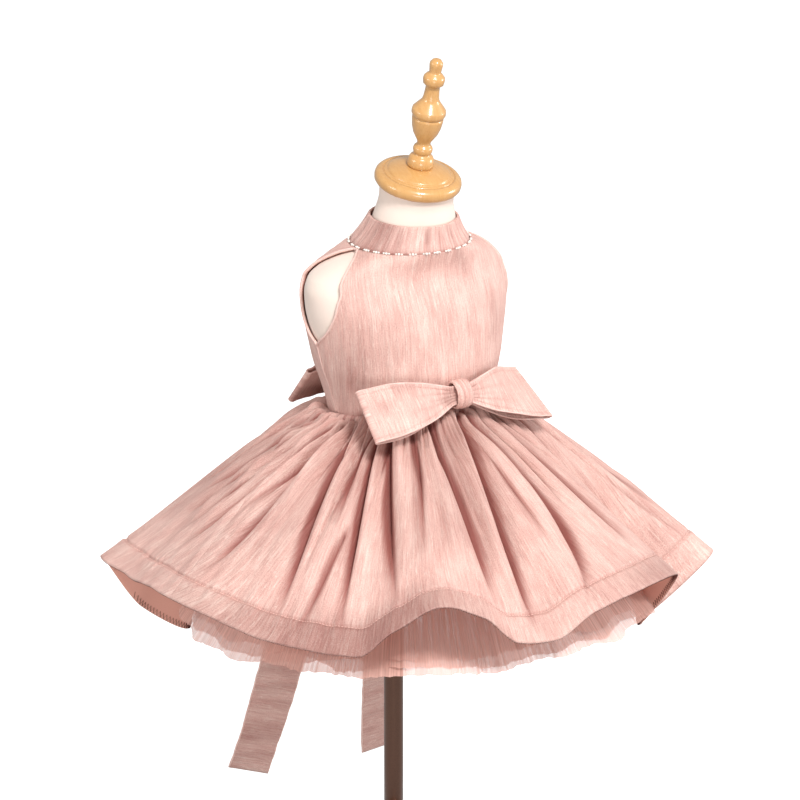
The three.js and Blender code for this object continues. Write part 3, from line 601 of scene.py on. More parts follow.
def crinkled_velvet(name, body, light, deep, fold_shade_colour):
    """Crinkled velvet: short pile pressed in fine uneven creases along the grain. Crushed patches
    are paler and the pile between them deeper, at random. Thin pressed lines are painted pale as a
    painted glint, and thin low lines darker as painted shade in the fine crinkles. Painted shade
    darkens the cloth down in its folds, at seams and stitches, and where its pile lies turned from
    the light; the fold map tells where. It has a soft sheen at grazing angles. The pile's grain is
    drawn coarser than the real one, so that it shows."""
    material, tree, shader = new_material(name, VELVET_FINISH)
    cloth = add_node(tree, "ShaderNodeUVMap", {"uv_map": "cloth"}).outputs["UV"]
    # the fold map holds painted shade: x down in folds, seams and stitches, y where the pile is
    # turned from the light
    depth = add_node(tree, "ShaderNodeUVMap", {"uv_map": "fold"}).outputs["UV"]
    lie = add_node(tree, "ShaderNodeSeparateXYZ", inputs={"Vector": depth})

    def streaks(across_mm, along_mm, detail, warp):
        """Noise drawn out along the cloth's grain, led off its line by a slower noise."""
        slow = {"Vector": cloth, "Scale": 1000 / along_mm, "Detail": 1.0}
        wander = add_node(tree, "ShaderNodeTexNoise", inputs=slow)
        moved = add_node(
            tree,
            "ShaderNodeVectorMath",
            {"operation": "MULTIPLY_ADD"},
            {0: wander.outputs["Color"], 1: (warp, 0, 0), 2: cloth},
        )
        scaled = add_node(
            tree,
            "ShaderNodeVectorMath",
            {"operation": "MULTIPLY"},
            {0: moved.outputs["Vector"], 1: (1000 / across_mm, 1000 / along_mm, 0)},
        )
        fine = {"Vector": scaled.outputs["Vector"], "Scale": 1.0}
        fine.update({"Detail": detail, "Roughness": 0.62})
        return add_node(tree, "ShaderNodeTexNoise", inputs=fine).outputs["Fac"]

    tone = 0.0
    patterns = [streaks(*row[:4]) for row in STREAKS]
    for pattern, row in zip(patterns, STREAKS):
        added = {0: pattern, 1: row[4], 2: tone}
        tone = add_node(
            tree, "ShaderNodeMath", {"operation": "MULTIPLY_ADD"}, added
        ).outputs[0]
    line_field = streaks(*LINE_STREAKS)
    lines = []
    for level, half_width in LINE_LEVELS:
        off = add_node(
            tree, "ShaderNodeMath", {"operation": "SUBTRACT"}, {0: line_field, 1: level}
        )
        away = add_node(
            tree, "ShaderNodeMath", {"operation": "ABSOLUTE"}, {0: off.outputs[0]}
        )
        near = {"Value": away.outputs[0], "From Max": half_width, "To Min": 1.0}
        near["To Max"] = 0.0
        line = add_node(tree, "ShaderNodeMapRange", inputs=near)
        lines.append(line.outputs["Result"])
    pressed_line, low_line = lines
    ranged = []
    for value, (start, end), (to_start, to_end) in (
        (tone, TONE_RANGE, (0.0, 1.0)),
        (tone, TONE_RANGE, (1.2, 0.8)),
        (tone, TONE_RANGE, (0.62, 0.42)),
        (patterns[0], CRINKLE_RANGE, (1.1, 0.9)),
    ):
        ends = {"From Min": start, "From Max": end, "To Min": to_start, "To Max": to_end}
        ranged.append(
            add_node(
                tree, "ShaderNodeMapRange", inputs={"Value": value, **ends}
            ).outputs["Result"]
        )
    shade, pile_shade_share, roughness, fold_share = ranged
    ramp = add_node(tree, "ShaderNodeValToRGB", inputs={"Fac": shade})
    ramp.color_ramp.elements[0].color = linear(deep)
    ramp.color_ramp.elements[1].color = linear(light)
    ramp.color_ramp.elements.new(0.5).color = linear(body)
    colour = ramp.outputs["Color"]
    # a painted glint on the pressed lines, then painted shade on the low lines, where the pile is
    # turned from the light and down in the folds
    for amount, share, over, blend in (
        (pressed_line, PRESSED_GLINT_SHARE, light, "MIX"),
        (low_line, LOW_LINE_SHADE_SHARE, deep, "MIX"),
        (lie.outputs["Y"], pile_shade_share, PILE_SHADE_COLOUR, "MULTIPLY"),
        (lie.outputs["X"], fold_share, fold_shade_colour, "MIX"),
    ):
        factor = add_node(
            tree, "ShaderNodeMath", {"operation": "MULTIPLY"}, {0: amount, 1: share}
        )
        colour = add_node(
            tree,
            "ShaderNodeMix",
            {"data_type": "RGBA", "blend_type": blend},
            {"Factor": factor.outputs[0], "A": colour, "B": linear(over)},
        ).outputs["Result"]
    height = add_node(
        tree,
        "ShaderNodeMath",
        {"operation": "MULTIPLY_ADD"},
        {0: pressed_line, 1: PRESSED_HEIGHT, 2: tone},
    )
    relief = add_node(
        tree,
        "ShaderNodeBump",
        inputs={"Height": height.outputs[0], "Strength": 0.75, "Distance": 0.0012},
    )
    tree.links.new(colour, shader.inputs["Base Color"])
    tree.links.new(roughness, shader.inputs["Roughness"])
    tree.links.new(relief.outputs["Normal"], shader.inputs["Normal"])
    return material


def velvet_back():
    """The velvet's wrong side: a plain knitted ground, salmon pink and quite matt."""
    material, tree, shader = new_material("velvet_wrong_side", {"Roughness": 0.8})
    cloth = add_node(tree, "ShaderNodeUVMap", {"uv_map": "cloth"}).outputs["UV"]
    scale = 1000 * KNIT_STITCHES_PER_MM
    noise_finish(tree, shader, cloth, scale, 3.0, WRONG_SIDE, (0.3, 0.0004))
    return material


velvet = crinkled_velvet(
    "crinkled_velvet", VELVET, VELVET_LIGHT, VELVET_DEEP, VELVET_FOLD_SHADE
)
wrong_side = velvet_back()


def uneven(place, seed, period=4096):
    """Smooth unevenness from -1 to 1: random values at whole numbers, eased between them."""
    values = np.random.default_rng(seed).uniform(-1, 1, period)
    low = np.floor(place).astype(int)
    ease = eased(place - low)
    return values[low % period] * (1 - ease) + values[(low + 1) % period] * ease


def hump(value, middle, width):
    """A hump of height one: e to the minus square of the distance from its middle, where
    the distance is counted in widths."""
    return np.exp(-(((value - middle) / width) ** 2))


def turned_from(angle, middle):
    """How far an angle is from a middle, the short way round."""
    return (angle - middle + 180) % 360 - 180


def ellipse_reach(angle, half_width, half_depth):
    """How far an ellipse is from its middle at an angle from the front."""
    a = np.radians(angle)
    return 1 / np.hypot(np.sin(a) / half_width, np.cos(a) / half_depth)


def bodice_size(column, height):
    """A column of the bodice's table at a height, smoothly between its rows."""
    return smooth_through(BODICE_SECTIONS[:, 0], BODICE_SECTIONS[:, column], height)


def waist_height(angle):
    """The waist seam's height, which rises to the front with the cosine of the angle."""
    return WAIST_HEIGHT + WAIST_FRONT_RISE * np.cos(np.radians(angle))


def round_hem(column, angle):
    """A hem value at an angle: the table carried once round on both sides, so that it closes."""
    places = np.concatenate([HEM_WAVES[:, 0] + t for t in (-360, 0, 360)])
    return smooth_through(places, np.tile(HEM_WAVES[:, column], 3), angle)


def cubic(way, first, second):
    """A cubic curve from nought to one with two inner control values."""
    back = 1 - way
    return 3 * back * back * way * first + 3 * back * way * way * second + way**3


def skirt_slope(angle, way):
    """Reach and height of the smooth skirt. Both run on a cubic from the waist ring to the hem,
    whose waves grow with the way down. The front is pressed a little by the bow."""
    front = np.cos(np.radians(angle))
    swell = way**SWELL_POWER
    mean = HEM_HEIGHT + HEM_FRONT_RISE * front
    hem_reach = HEM_REACH + (round_hem(1, angle) - HEM_REACH) * swell
    hem_height = mean + (round_hem(2, angle) - mean) * swell
    top = waist_height(angle) - SEAM_GAP
    half_width = bodice_size(1, top) + 2 * SEAM_GAP
    half_depth = bodice_size(2, top) + 2 * SEAM_GAP
    waist = ellipse_reach(angle, half_width, half_depth)
    pressed = PUFF_PRESSED * np.maximum(0, front) ** 2
    reach = waist + (hem_reach - waist) * cubic(way, PUFF_OUT, FALL_OUT)
    height = top + (hem_height - top) * cubic(way, PUFF_DOWN + pressed, FALL_DOWN)
    return reach, height


def crease_table():
    """The creases that show in front, as measured, and like ones all round the rest, spaced
    unevenly, with many short gathers at the waist. Each row is as in MAIN_CREASES."""
    chance = np.random.default_rng(SKIRT_SEED)
    first, last = PLAIN_FRONT[1] + 6, 360 + PLAIN_FRONT[0] - 4
    count = HIDDEN_CREASES
    centre = np.linspace(first, last, count) + chance.uniform(-3.5, 3.5, count)
    hidden = [
        chance.uniform(0, 0.06, count),
        chance.uniform(0.62, 0.98, count),
        centre + chance.uniform(-3, 3, count),
        centre,
        centre + chance.uniform(-4, 4, count),
        chance.uniform(13, 21, count),
        chance.uniform(11, 19, count),
        chance.choice([-1, 0, 1], count),
    ]
    groups = [MAIN_CREASES, np.stack(hidden, axis=-1)]
    for count, ends, depth, width in (
        (SMALL_GATHERS, (0.16, 0.42), (3.5, 7), (3, 5)),
        (MIDDLE_GATHERS, (0.4, 0.85), (5, 9), (5, 9)),
    ):
        place = (np.arange(count) + chance.uniform(-0.32, 0.32, count)) * 360 / count
        gathers = [
            np.zeros(count),
            chance.uniform(*ends, count),
            place,
            place + chance.uniform(-1.5, 1.5, count),
            place + chance.uniform(-3, 3, count),
            chance.uniform(*depth, count),
            chance.uniform(*width, count),
            chance.choice([-1, 0, 1], count),
        ]
        groups.append(np.stack(gathers, axis=-1))
    return np.concatenate(groups)


CREASES = crease_table()
STEEP_SHARE = 0.3
SWING = 28.0
SWING_MIDDLE = -108.0
SWING_WIDTH = 36.0
RIDGE_SHARE = 0.2
TROUGH = [
    # share of the depth, and how fast it closes, of the pointed floor and of the flanks
    (0.6, 0.36),
    (0.4, 1.25),
]
SLOPE_STEP = 0.004
SOFT_WAVES = [
    # depth, waves once round, drift on the way down, and the bend's size and waves
    (1.6, 23, 2.2, 3, 5),
    (1.1, 41, -4.0, 2, 7),
]
SOFT_BUMPS = [
    # depth, bumps once round, drift on the way down, and seed
    (1.0, 150, 1.5, 11),
    (0.6, 330, -3.0, 12),
]
PUCKERS = 290
PUCKER_DEPTH = 1.1
STITCH_SINK = 1.9
STITCH_WAY = 0.006
HEM_STEP = 0.7
CLOTH_OUT = 2.2
WAIST_PUFF = 5.0
SEAM_PULL_IN = 1.3
SEAM_LIFT = 1.4


def swing(angle, way):
    """How far the gathers swing in angle on their way down: backwards at the right side."""
    return -SWING * way * hump(turned_from(angle, SWING_MIDDLE), 0, SWING_WIDTH)


def crease_depth(angle, way, reach):
    """How far the cloth sinks into its creases. Each is a trough with a pointed floor, whose
    middle follows a parabola in angle. One side of it can be steep and end in a low ridge, as
    where a fold lies over its neighbour. It opens quickly and fades towards its end."""
    sunk = np.zeros(np.broadcast(angle, way).shape)
    unswung = angle - swing(angle, way)
    for k, row in enumerate(CREASES):
        starts, ends, at_start, at_middle, at_end, depth, width, under = row
        s = (way - starts) / (ends - starts)
        bend = 2 * (at_start + at_end - 2 * at_middle)
        middle = at_start + (at_end - at_start) * s + bend * s * (s - 1)
        seen = angle if k < len(MAIN_CREASES) else unswung
        away = np.radians(turned_from(seen, middle)) * reach
        spread = width * (0.45 + 0.95 * np.clip(s, 0, 1))
        steep = under * away < 0
        off_floor = np.abs(away) / np.where(steep, STEEP_SHARE * spread, spread)
        near = sum(share * np.exp(-off_floor / fast) for share, fast in TROUGH)
        ridge = hump(np.abs(away), 0.75 * spread, 0.6 * spread)
        near = near - np.where(steep, RIDGE_SHARE * ridge, 0)
        opened = np.clip((way - starts) / 0.04 + 0.3, 0, 1)
        fade = eased(np.clip((1 - s) / 0.5, 0, 1))
        sunk += np.where((s >= -0.05) & (s <= 1), depth * near * opened * fade, 0)
    return sunk


def skirt_forward(way):
    """How far before the post the skirt's middle is: it moves over close under the waist."""
    shifted = np.minimum(1, way / SHIFTED_BY_WAY)
    return WAIST_FORWARD + (SKIRT_FORWARD - WAIST_FORWARD) * shifted


def skirt_surface(angle, way, moved=0.0):
    """The skirt's points: the smooth slope, moved along its normal by minus the crease depth,
    plus soft unevenness of the cloth and a small step at the hem's stitching."""
    reach, height = skirt_slope(angle, way)
    before = skirt_slope(angle, np.clip(way - SLOPE_STEP, 0, 1))
    after = skirt_slope(angle, np.clip(way + SLOPE_STEP, 0, 1))
    run, fall = after[0] - before[0], after[1] - before[1]
    length = np.hypot(run, fall)
    run, fall = run / length, fall / length
    sunk = DEEPEST * np.tanh(crease_depth(angle, way, reach) / DEEPEST)
    a, turn = np.radians(angle), angle / 360 + 1
    soft = 0.0
    for depth, waves, drift, bend, bends in SOFT_WAVES:
        soft = soft + depth * np.sin(a * waves + bend * np.sin(a * bends) + drift * way)
    for depth, count, drift, seed in SOFT_BUMPS:
        soft = soft + depth * uneven(turn * count + drift * way, seed, count)
    soft = soft * np.clip(way / 0.15, 0, 1) * (1.25 - 0.9 * way)
    pucker = uneven(turn * PUCKERS + 4 * way, 13, PUCKERS) * hump(way, HEM_BAND, 0.04)
    away = soft + CLOTH_OUT - sunk - STITCH_SINK * hump(way, HEM_BAND, STITCH_WAY)
    away = away + PUCKER_DEPTH * pucker
    away = away + HEM_STEP * np.clip((way - HEM_BAND) / 0.01, 0, 1)
    away = away * np.clip(way / 0.03, 0, 1) + moved
    away = away + WAIST_PUFF * hump(way, 0.07, 0.05) * np.clip(way / 0.02, 0, 1)
    seamed = np.exp(-way / 0.006)
    out = reach - fall * away - SEAM_PULL_IN * seamed
    height = height + run * away + SEAM_LIFT * seamed
    return around(angle, out, out, skirt_forward(way), height)


def walled(made, thickness, node, inner=None, offset=-1):
    """Gives a sheet its thickness, on its inner side where the offset is -1, and hides the
    imported solid that it stands for."""
    if inner is not None:
        made.data.materials.append(inner)
    wall = made.modifiers.new("wall", "SOLIDIFY")
    wall.thickness = thickness / 1000
    wall.offset = offset
    wall.material_offset = 0 if inner is None else 1
    wall.use_quality_normals = True
    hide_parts(node)
    return made


def unit(vectors):
    """Vectors divided by their lengths."""
    return vectors / np.linalg.norm(vectors, axis=-1, keepdims=True)


def square_to(along, side):
    """A side direction made square to the one along, at length one."""
    return unit(side - (side * along).sum(axis=-1, keepdims=True) * along)


def length_along(path):
    """How long a path is from its start to each of its points."""
    return np.append(0, np.cumsum(np.linalg.norm(np.diff(path, axis=0), axis=1)))


def roll(name, path, side, radius, material, sides=8):
    """A thin round roll along a path in millimetres. Its rings start at the side direction,
    made square to the path, and turn about the path."""
    along = unit(np.gradient(path, axis=0))
    side = square_to(along, side)
    third = np.cross(along, side)
    turn = np.linspace(0, 2 * np.pi, sides + 1)[None, :]
    outwards = np.cos(turn)[..., None] * side[:, None] + np.sin(turn)[..., None] * third[:, None]
    uv = together(turn * radius, length_along(path)[:, None]) / 1000
    points = path[:, None] + radius * outwards
    return grid_piece(name, points, material, uv=uv, closed=True, caps=True)


def small_turning(profile, sides):
    """Points and faces of a small profile of place and radius turned round the x axis."""
    turn = np.arange(sides) * 2 * np.pi / sides
    place, radius = np.array(profile, dtype=float).T[..., None]
    points = together(place, radius * np.cos(turn), radius * np.sin(turn)).reshape(-1, 3)
    last = (len(profile) - 1) * sides
    faces = [list(range(sides))[::-1], [last + k for k in range(sides)]]
    for ring in range(0, last, sides):
        for i in range(sides):
            k = (i + 1) % sides
            faces.append([ring + i, ring + k, ring + sides + k, ring + sides + i])
    return points, faces


def copies(name, shape, centres, frames, material):
    """One mesh of many copies of a small shape, in millimetres. The rows of each frame are
    the directions that the shape's x, y and z axes take."""
    points, faces = shape
    placed = np.einsum("vk,nkc->nvc", points, frames) + centres[:, None]
    mesh = bpy.data.meshes.new(name)
    face_list = [
        [corner + n * len(points) for corner in face]
        for n in range(len(centres))
        for face in faces
    ]
    mesh.from_pydata((placed.reshape(-1, 3) / 1000).tolist(), [], face_list)
    return smooth_piece(name, mesh, material)


STITCH_SHARE = 0.76
STITCH_SIDES = 6
STITCH_PROFILE = [
    # share of the half length, and radius
    (-1, 0.08),
    (-0.7, 0.26),
    (0.7, 0.26),
    (1, 0.08),
]
THREAD_TWIST_MM = 0.4


def stitch_line(name, path, outward, pitch, material):
    """A row of stitches along a path in millimetres: short spindles bedded in the cloth, each
    a little shorter than the pitch."""
    run = length_along(path)
    at = (np.arange(int(run[-1] / pitch)) + 0.5) * pitch

    def value(table, place):
        return np.stack([np.interp(place, run, table[:, k]) for k in range(3)], -1)

    along = unit(value(path, at + 0.4 * pitch) - value(path, at - 0.4 * pitch))
    side = square_to(along, value(outward, at))
    frames = np.stack([along, side, np.cross(along, side)], axis=1)
    half = STITCH_SHARE / 2 * pitch
    shape = small_turning([(half * x, radius) for x, radius in STITCH_PROFILE], STITCH_SIDES)
    return copies(name, shape, value(path, at), frames, material)


def thread(name, colour):
    """Spun sewing thread: matt, with a fine twist."""
    finish = {"Base Color": linear(colour), "Roughness": 0.6}
    material, tree, shader = new_material(name, finish)
    place = add_node(tree, "ShaderNodeTexCoord").outputs["Object"]
    noise_finish(tree, shader, place, 1000 / THREAD_TWIST_MM, 1.0, relief=(0.4, 0.0001))
    return material


pale_thread = thread("pale_thread", "#f0cabd")
rose_thread = thread("rose_thread", "#7f483f")


def skirt_fold_shade(angle, way):
    """Painted shade of the skirt, from 0 to 1: down in its folds, from its crease depth less the
    mean depth around it and from the crease depth itself, and a line along the waist seam and the
    hem's stitches."""
    reach = skirt_slope(angle, way)[0]
    sunk = crease_depth(angle, way, reach)
    near_by = [
        crease_depth(angle + np.degrees(mm / reach), way, reach)
        for mm in FOLD_NEAR_BY_MM
    ]
    local = np.clip((sunk - np.mean(near_by, axis=0)) / FOLD_LOCAL_MM, 0, 1)
    local = local * np.clip(way / 0.025, 0.15, 1)
    wide = np.clip(sunk / FOLD_WIDE_MM, 0, 1)
    seam = SEAM_SHADE * np.exp(-way / 0.008)
    stitched = STITCH_SHADE * hump(way, HEM_BAND, STITCH_WAY)
    folded = FOLD_LOCAL_SHARE * local**0.75 + FOLD_WIDE_SHARE * wide
    return np.clip(folded + seam + stitched, 0, 1)


def skirt_pile_shade(angle, way):
    """Painted shade where the pile lies turned from the light: strokes over the hem's front, which
    faces down out of the light, a band of the hem, and uneven patches.
    """
    turned = 0.0
    for depth, middle, width, start, over in PILE_SHADE_STROKES:
        turned = turned + depth * hump(angle, middle, width) * np.clip((way - start) / over, 0, 1)
    depth, middle, width = PILE_HEM_SHADE
    band = depth * hump(angle, middle, width) * (way > HEM_BAND)
    patches = uneven(angle / 14 + 2.5 * way + 40, 21) * uneven(way * 3.5, 22)
    patches = PILE_SHADE_PATCHES * patches
    return np.clip(turned + band + patches, 0, 1)


def skirt_panel(name, start, node):
    """Half the skirt, from a side seam round to the other."""
    angle = np.linspace(start, start + 180, SKIRT_COLUMNS + 1)[None, :]
    angle, way = np.broadcast_arrays(angle, SKIRT_WAYS[:, None])
    made = grid_piece(
        name,
        skirt_surface(angle, way),
        velvet,
        uv=SKIRT_CLOTH_M * together(np.radians(angle - swing(angle, way)), way),
        # painted shade in the folds and where the pile is turned from the light
        fold=skirt_fold_shade(angle, way),
        pile=skirt_pile_shade(angle, way),
        flip=True,
    )
    return walled(made, SKIRT_THICKNESS, node, wrong_side)


skirt_front = skirt_panel("skirt_front_cloth", -90, "skirt_front")
skirt_back = skirt_panel("skirt_back_cloth", 90, "skirt_back")
# a paler copy of the velvet for turned edges and seam rolls: a painted highlight where the light
# catches them
velvet_edge_highlight = crinkled_velvet(
    "crinkled_velvet_edge", "#f0c8bc", "#fbe3da", "#dcaa9f", VELVET_FOLD_SHADE
)


# Hem
# The hem is turned up wide on the inside, and a straight row of stitches holds it, which puckers
# the velvet a little. Along the lower edge an overlock in darker thread shows from inside.
HEM_COLUMNS = 720
HEM_ROWS = 8
OVERLOCK_PITCH_MM = 2.6
OVERLOCK_WAY = 0.018
OVERLOCK_RADIUS = 0.7
HEM_WAVINESS = 1.1
HEM_STITCH_POINTS = 3000

hem_angle = np.linspace(-180, 180, HEM_COLUMNS + 1)
hem_way = np.linspace(HEM_BAND - 0.004, 0.998, HEM_ROWS + 1)
turned_up = grid_piece(
    "hem_turned_up",
    skirt_surface(hem_angle[None, :], hem_way[:, None], -SKIRT_THICKNESS - 0.5),
    wrong_side,
    uv=SKIRT_CLOTH_M * together(np.radians(hem_angle)[None, :], hem_way[:, None]),
)


def hem_line(way, moved, count):
    """Points once round the skirt at a way down, and the directions out from its slope."""
    angle = np.linspace(-180, 180, count + 1)
    at_way = np.broadcast_to(way, angle.shape)
    path = skirt_surface(angle, at_way, moved)
    return path, skirt_surface(angle, at_way, moved + 1) - path


hem_seam = hem_line(HEM_BAND, 0.25, HEM_STITCH_POINTS)
hem_stitches = stitch_line("hem_stitches", *hem_seam, HEM_STITCH_MM, pale_thread)
rough_length = 2 * np.pi * HEM_REACH * HEM_WAVINESS
zigzags = int(rough_length / OVERLOCK_PITCH_MM)
zig_way = 0.999 - OVERLOCK_WAY * (np.arange(2 * zigzags + 1) % 2)
zig_path, zig_out = hem_line(zig_way, -SKIRT_THICKNESS - 0.9, 2 * zigzags)
overlock = roll(
    "hem_overlock", zig_path, zig_out, OVERLOCK_RADIUS, rose_thread, sides=4
)


# Petticoat
# Three gathered layers of soft tulle on one waist ring, cut by hand at their hems, with fine
# folds all round. They fill the skirt and show a little below it.
TULLE_LAYERS = [
    # name, inset, hem raised by, and seed
    ("petticoat_outer_layer", 0.0, 0.0, 31),
    ("petticoat_middle_layer", 5.0, 6.0, 32),
    ("petticoat_inner_layer", 10.0, 13.0, 33),
]
TULLE_WAIST = (88.4, 71.4)
TULLE_TOP_DROP = 6
TULLE_REACH = 272
TULLE_SLIMMER = 0.11
TULLE_HEM = 419
TULLE_FRONT_RISE = 12
TULLE_RIPPLES = 24
TULLE_RIPPLE_DEPTH = 3
TULLE_FOLD_DEPTH = 2.0
TULLE_OPENS_BY = 0.3
TULLE_FINE_FOLDS = 150
TULLE_COLUMNS = 750
TULLE_ROWS = 28
TULLE_ROOM = 4.5
TULLE_WAIST_ROOM = 3
TULLE_CLOTH_M = (0.3, 0.27)
TULLE_FOLDS_PER_M = (420.0, 12.0, 0)
TULLE_COLOURS = ("#dd9e8e", "#edc2b4")
TULLE_COVER = {"From Min": 0.3, "From Max": 0.7, "To Min": 0.55, "To Max": 0.9}
TULLE_RAGGED = [
    # depth, cuts once round, and what is added to the layer's seed
    (3.2, 60, 0),
    (1.3, 375, 5),
]


def soft_tulle():
    """Soft tulle: a fine salmon net, half clear, thicker where its fine folds run down. The
    net itself is too fine to show, so its folds alone are drawn."""
    finish = {"Roughness": 0.7, "Sheen Weight": 0.3}
    material, tree, shader = new_material("soft_tulle", finish)
    cloth = add_node(tree, "ShaderNodeUVMap", {"uv_map": "cloth"}).outputs["UV"]
    drawn = add_node(
        tree,
        "ShaderNodeVectorMath",
        {"operation": "MULTIPLY"},
        {0: cloth, 1: TULLE_FOLDS_PER_M},
    )
    noise = {"Vector": drawn.outputs["Vector"], "Scale": 1.0, "Detail": 3.0}
    folds = add_node(tree, "ShaderNodeTexNoise", inputs=noise).outputs["Fac"]
    thin, thick = (linear(colour) for colour in TULLE_COLOURS)
    mix = {"Factor": folds, "A": thin, "B": thick}
    colour = add_node(tree, "ShaderNodeMix", {"data_type": "RGBA"}, mix)
    cover = add_node(tree, "ShaderNodeMapRange", inputs={"Value": folds, **TULLE_COVER})
    tree.links.new(colour.outputs["Result"], shader.inputs["Base Color"])
    tree.links.new(cover.outputs["Result"], shader.inputs["Alpha"])
    return material


def skirt_room(angle, height):
    """How far out a layer may go at each height under the skirt: the least reach of the cloth
    there and close by, and no limit below the hem."""
    way = np.linspace(0.01, 1, 70)[:, None]
    cloth = skirt_surface(angle[None, :], way, -SKIRT_THICKNESS)
    reach = np.hypot(cloth[..., 0], cloth[..., 1] + SKIRT_FORWARD)
    limit = np.empty(height.shape)
    for k in range(len(angle)):
        order = np.argsort(cloth[:, k, 2])
        limit[:, k] = np.interp(
            height[:, k], cloth[order, k, 2], reach[order, k], left=1e6
        )
    around_it = [np.roll(limit[:, :-1], k, axis=1) for k in range(-3, 4)]
    least = np.minimum.reduce(around_it)
    return np.concatenate([least, least[:, :1]], axis=1)


def tulle_layer(name, inset, raised, seed):
    """A layer runs from the waist ring to its hem with ripples and fine folds that grow on
    the way, and stays inside the skirt."""
    angle = np.linspace(-180, 180, TULLE_COLUMNS + 1)[None, :]
    v = np.linspace(0, 1, TULLE_ROWS + 1)[:, None]
    a, turn = np.radians(angle), angle / 360 + 0.5
    ragged = 0.0
    for depth, cuts, more in TULLE_RAGGED:
        ragged = ragged + depth * uneven(turn * cuts, seed + more, cuts)
    top = waist_height(angle) - TULLE_TOP_DROP
    bottom = TULLE_HEM + TULLE_FRONT_RISE * np.cos(a) + raised + ragged
    height = top + (bottom - top) * v
    waist = ellipse_reach(angle, *TULLE_WAIST)
    slim = 1 - TULLE_SLIMMER * hump(angle, -122, 32)
    own = waist + (TULLE_REACH * slim - waist) * v**0.95
    full = eased(np.clip(v / TULLE_OPENS_BY, 0, 1))
    fine = uneven(turn * TULLE_FINE_FOLDS + 0.4 * v, seed + 9, TULLE_FINE_FOLDS)
    ripple = TULLE_RIPPLE_DEPTH * np.cos(a * TULLE_RIPPLES + seed) * full
    ripple = ripple + TULLE_FOLD_DEPTH * full * fine
    room = TULLE_ROOM + TULLE_WAIST_ROOM * (1 - full)
    reach = np.minimum(own + ripple, skirt_room(angle[0], height) - room) - inset * v
    reach = np.where(v < 1e-6, waist, reach)
    points = around(angle, reach, reach, skirt_forward(v), height)
    uv = together(a, v) * np.array(TULLE_CLOTH_M)
    made = grid_piece(name, points, tulle, uv=uv, flip=True)
    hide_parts("petticoat")
    return made


tulle = soft_tulle()
for row in TULLE_LAYERS:
    layer = tulle_layer(*row)


# Bodice
# Three panels of the velvet over the form, sewn together at the side seams and left open down
# the centre back. The armholes are cut far in, and a narrow roll of velvet finishes their edges.
ARMHOLE_EDGE = np.array(
    [
        # height, front panel's edge, back panel's edge, both in degrees from the front
        [600, 90, 90],
        [700, 90, 90],
        [708, 84, 97],
        [716, 77, 103],
        [734, 67, 112],
        [748, 62, 116.5],
        [761, 58.5, 119],
        [776, 62, 116],
        [791, 75, 104],
        [797, 89, 91],
    ]
)
BODICE_TOP = 796.7
BODICE_THICKNESS = 1.6
BODICE_ROWS = 96
BODICE_OUT = 0.3
SEAM_DIP = 1.1
SEAM_RIDGE = 0.35
WAIST_DIP = 1.2
TUCKED_IN = 2.5
BODICE_RIDGES = [
    # depth, mm apart, mm of height to drift by one, and what is added to the seed
    (0.55, 15, 130, 0),
    (0.22, 4.5, 90, 2),
]
WAIST_GATHER = (0.5, 6)
# painted shade at the waist and at the seams, and painted pile shade low on the front and in
# random patches
BODICE_SHADES = (0.35, 0.4)
BODICE_PILE_SHADE = (0.6, 0.4)
ARMHOLE_ROLL = 1.5
SIDE_SEAM_ROLL = 1.3


def bodice_face(angle, height):
    """The bodice's ellipse at a height."""
    sizes = (bodice_size(column, height) for column in (1, 2, 3))
    return around(angle, *sizes, height)


def bodice_normal(angle, height):
    """Square to the surface, from the differences round it and up it."""
    round_it = bodice_face(angle + 0.5, height) - bodice_face(angle - 0.5, height)
    up_it = bodice_face(angle, height + 0.5) - bodice_face(angle, height - 0.5)
    return unit(np.cross(round_it, up_it))


def bodice_point(angle, height, moved):
    """A point of the bodice, moved out from it."""
    moved = np.broadcast_to(moved, np.broadcast(angle, height).shape)[..., None]
    return bodice_face(angle, height) + moved * bodice_normal(angle, height)


def even_heights(rows):
    """Heights up the bodice as shares, evenly spaced along its outline at the front corner."""
    height = np.linspace(WAIST_HEIGHT, BODICE_TOP, 600)
    run = length_along(bodice_face(50.0, height))
    at = np.interp(np.linspace(0, run[-1], rows + 1), run, height)
    return (at - WAIST_HEIGHT) / (BODICE_TOP - WAIST_HEIGHT)


def closer_at_edges(count, share):
    """Places from nought to one, of which a share is drawn to both ends by a cosine."""
    even = np.linspace(0, 1, count + 1)[None, :]
    return (1 - share) * even + share * (1 - np.cos(np.pi * even)) / 2


def armhole(column, height):
    """How far round from the front a panel's armhole edge is at a height, in degrees."""
    return smooth_through(ARMHOLE_EDGE[:, 0], ARMHOLE_EDGE[:, column], height)


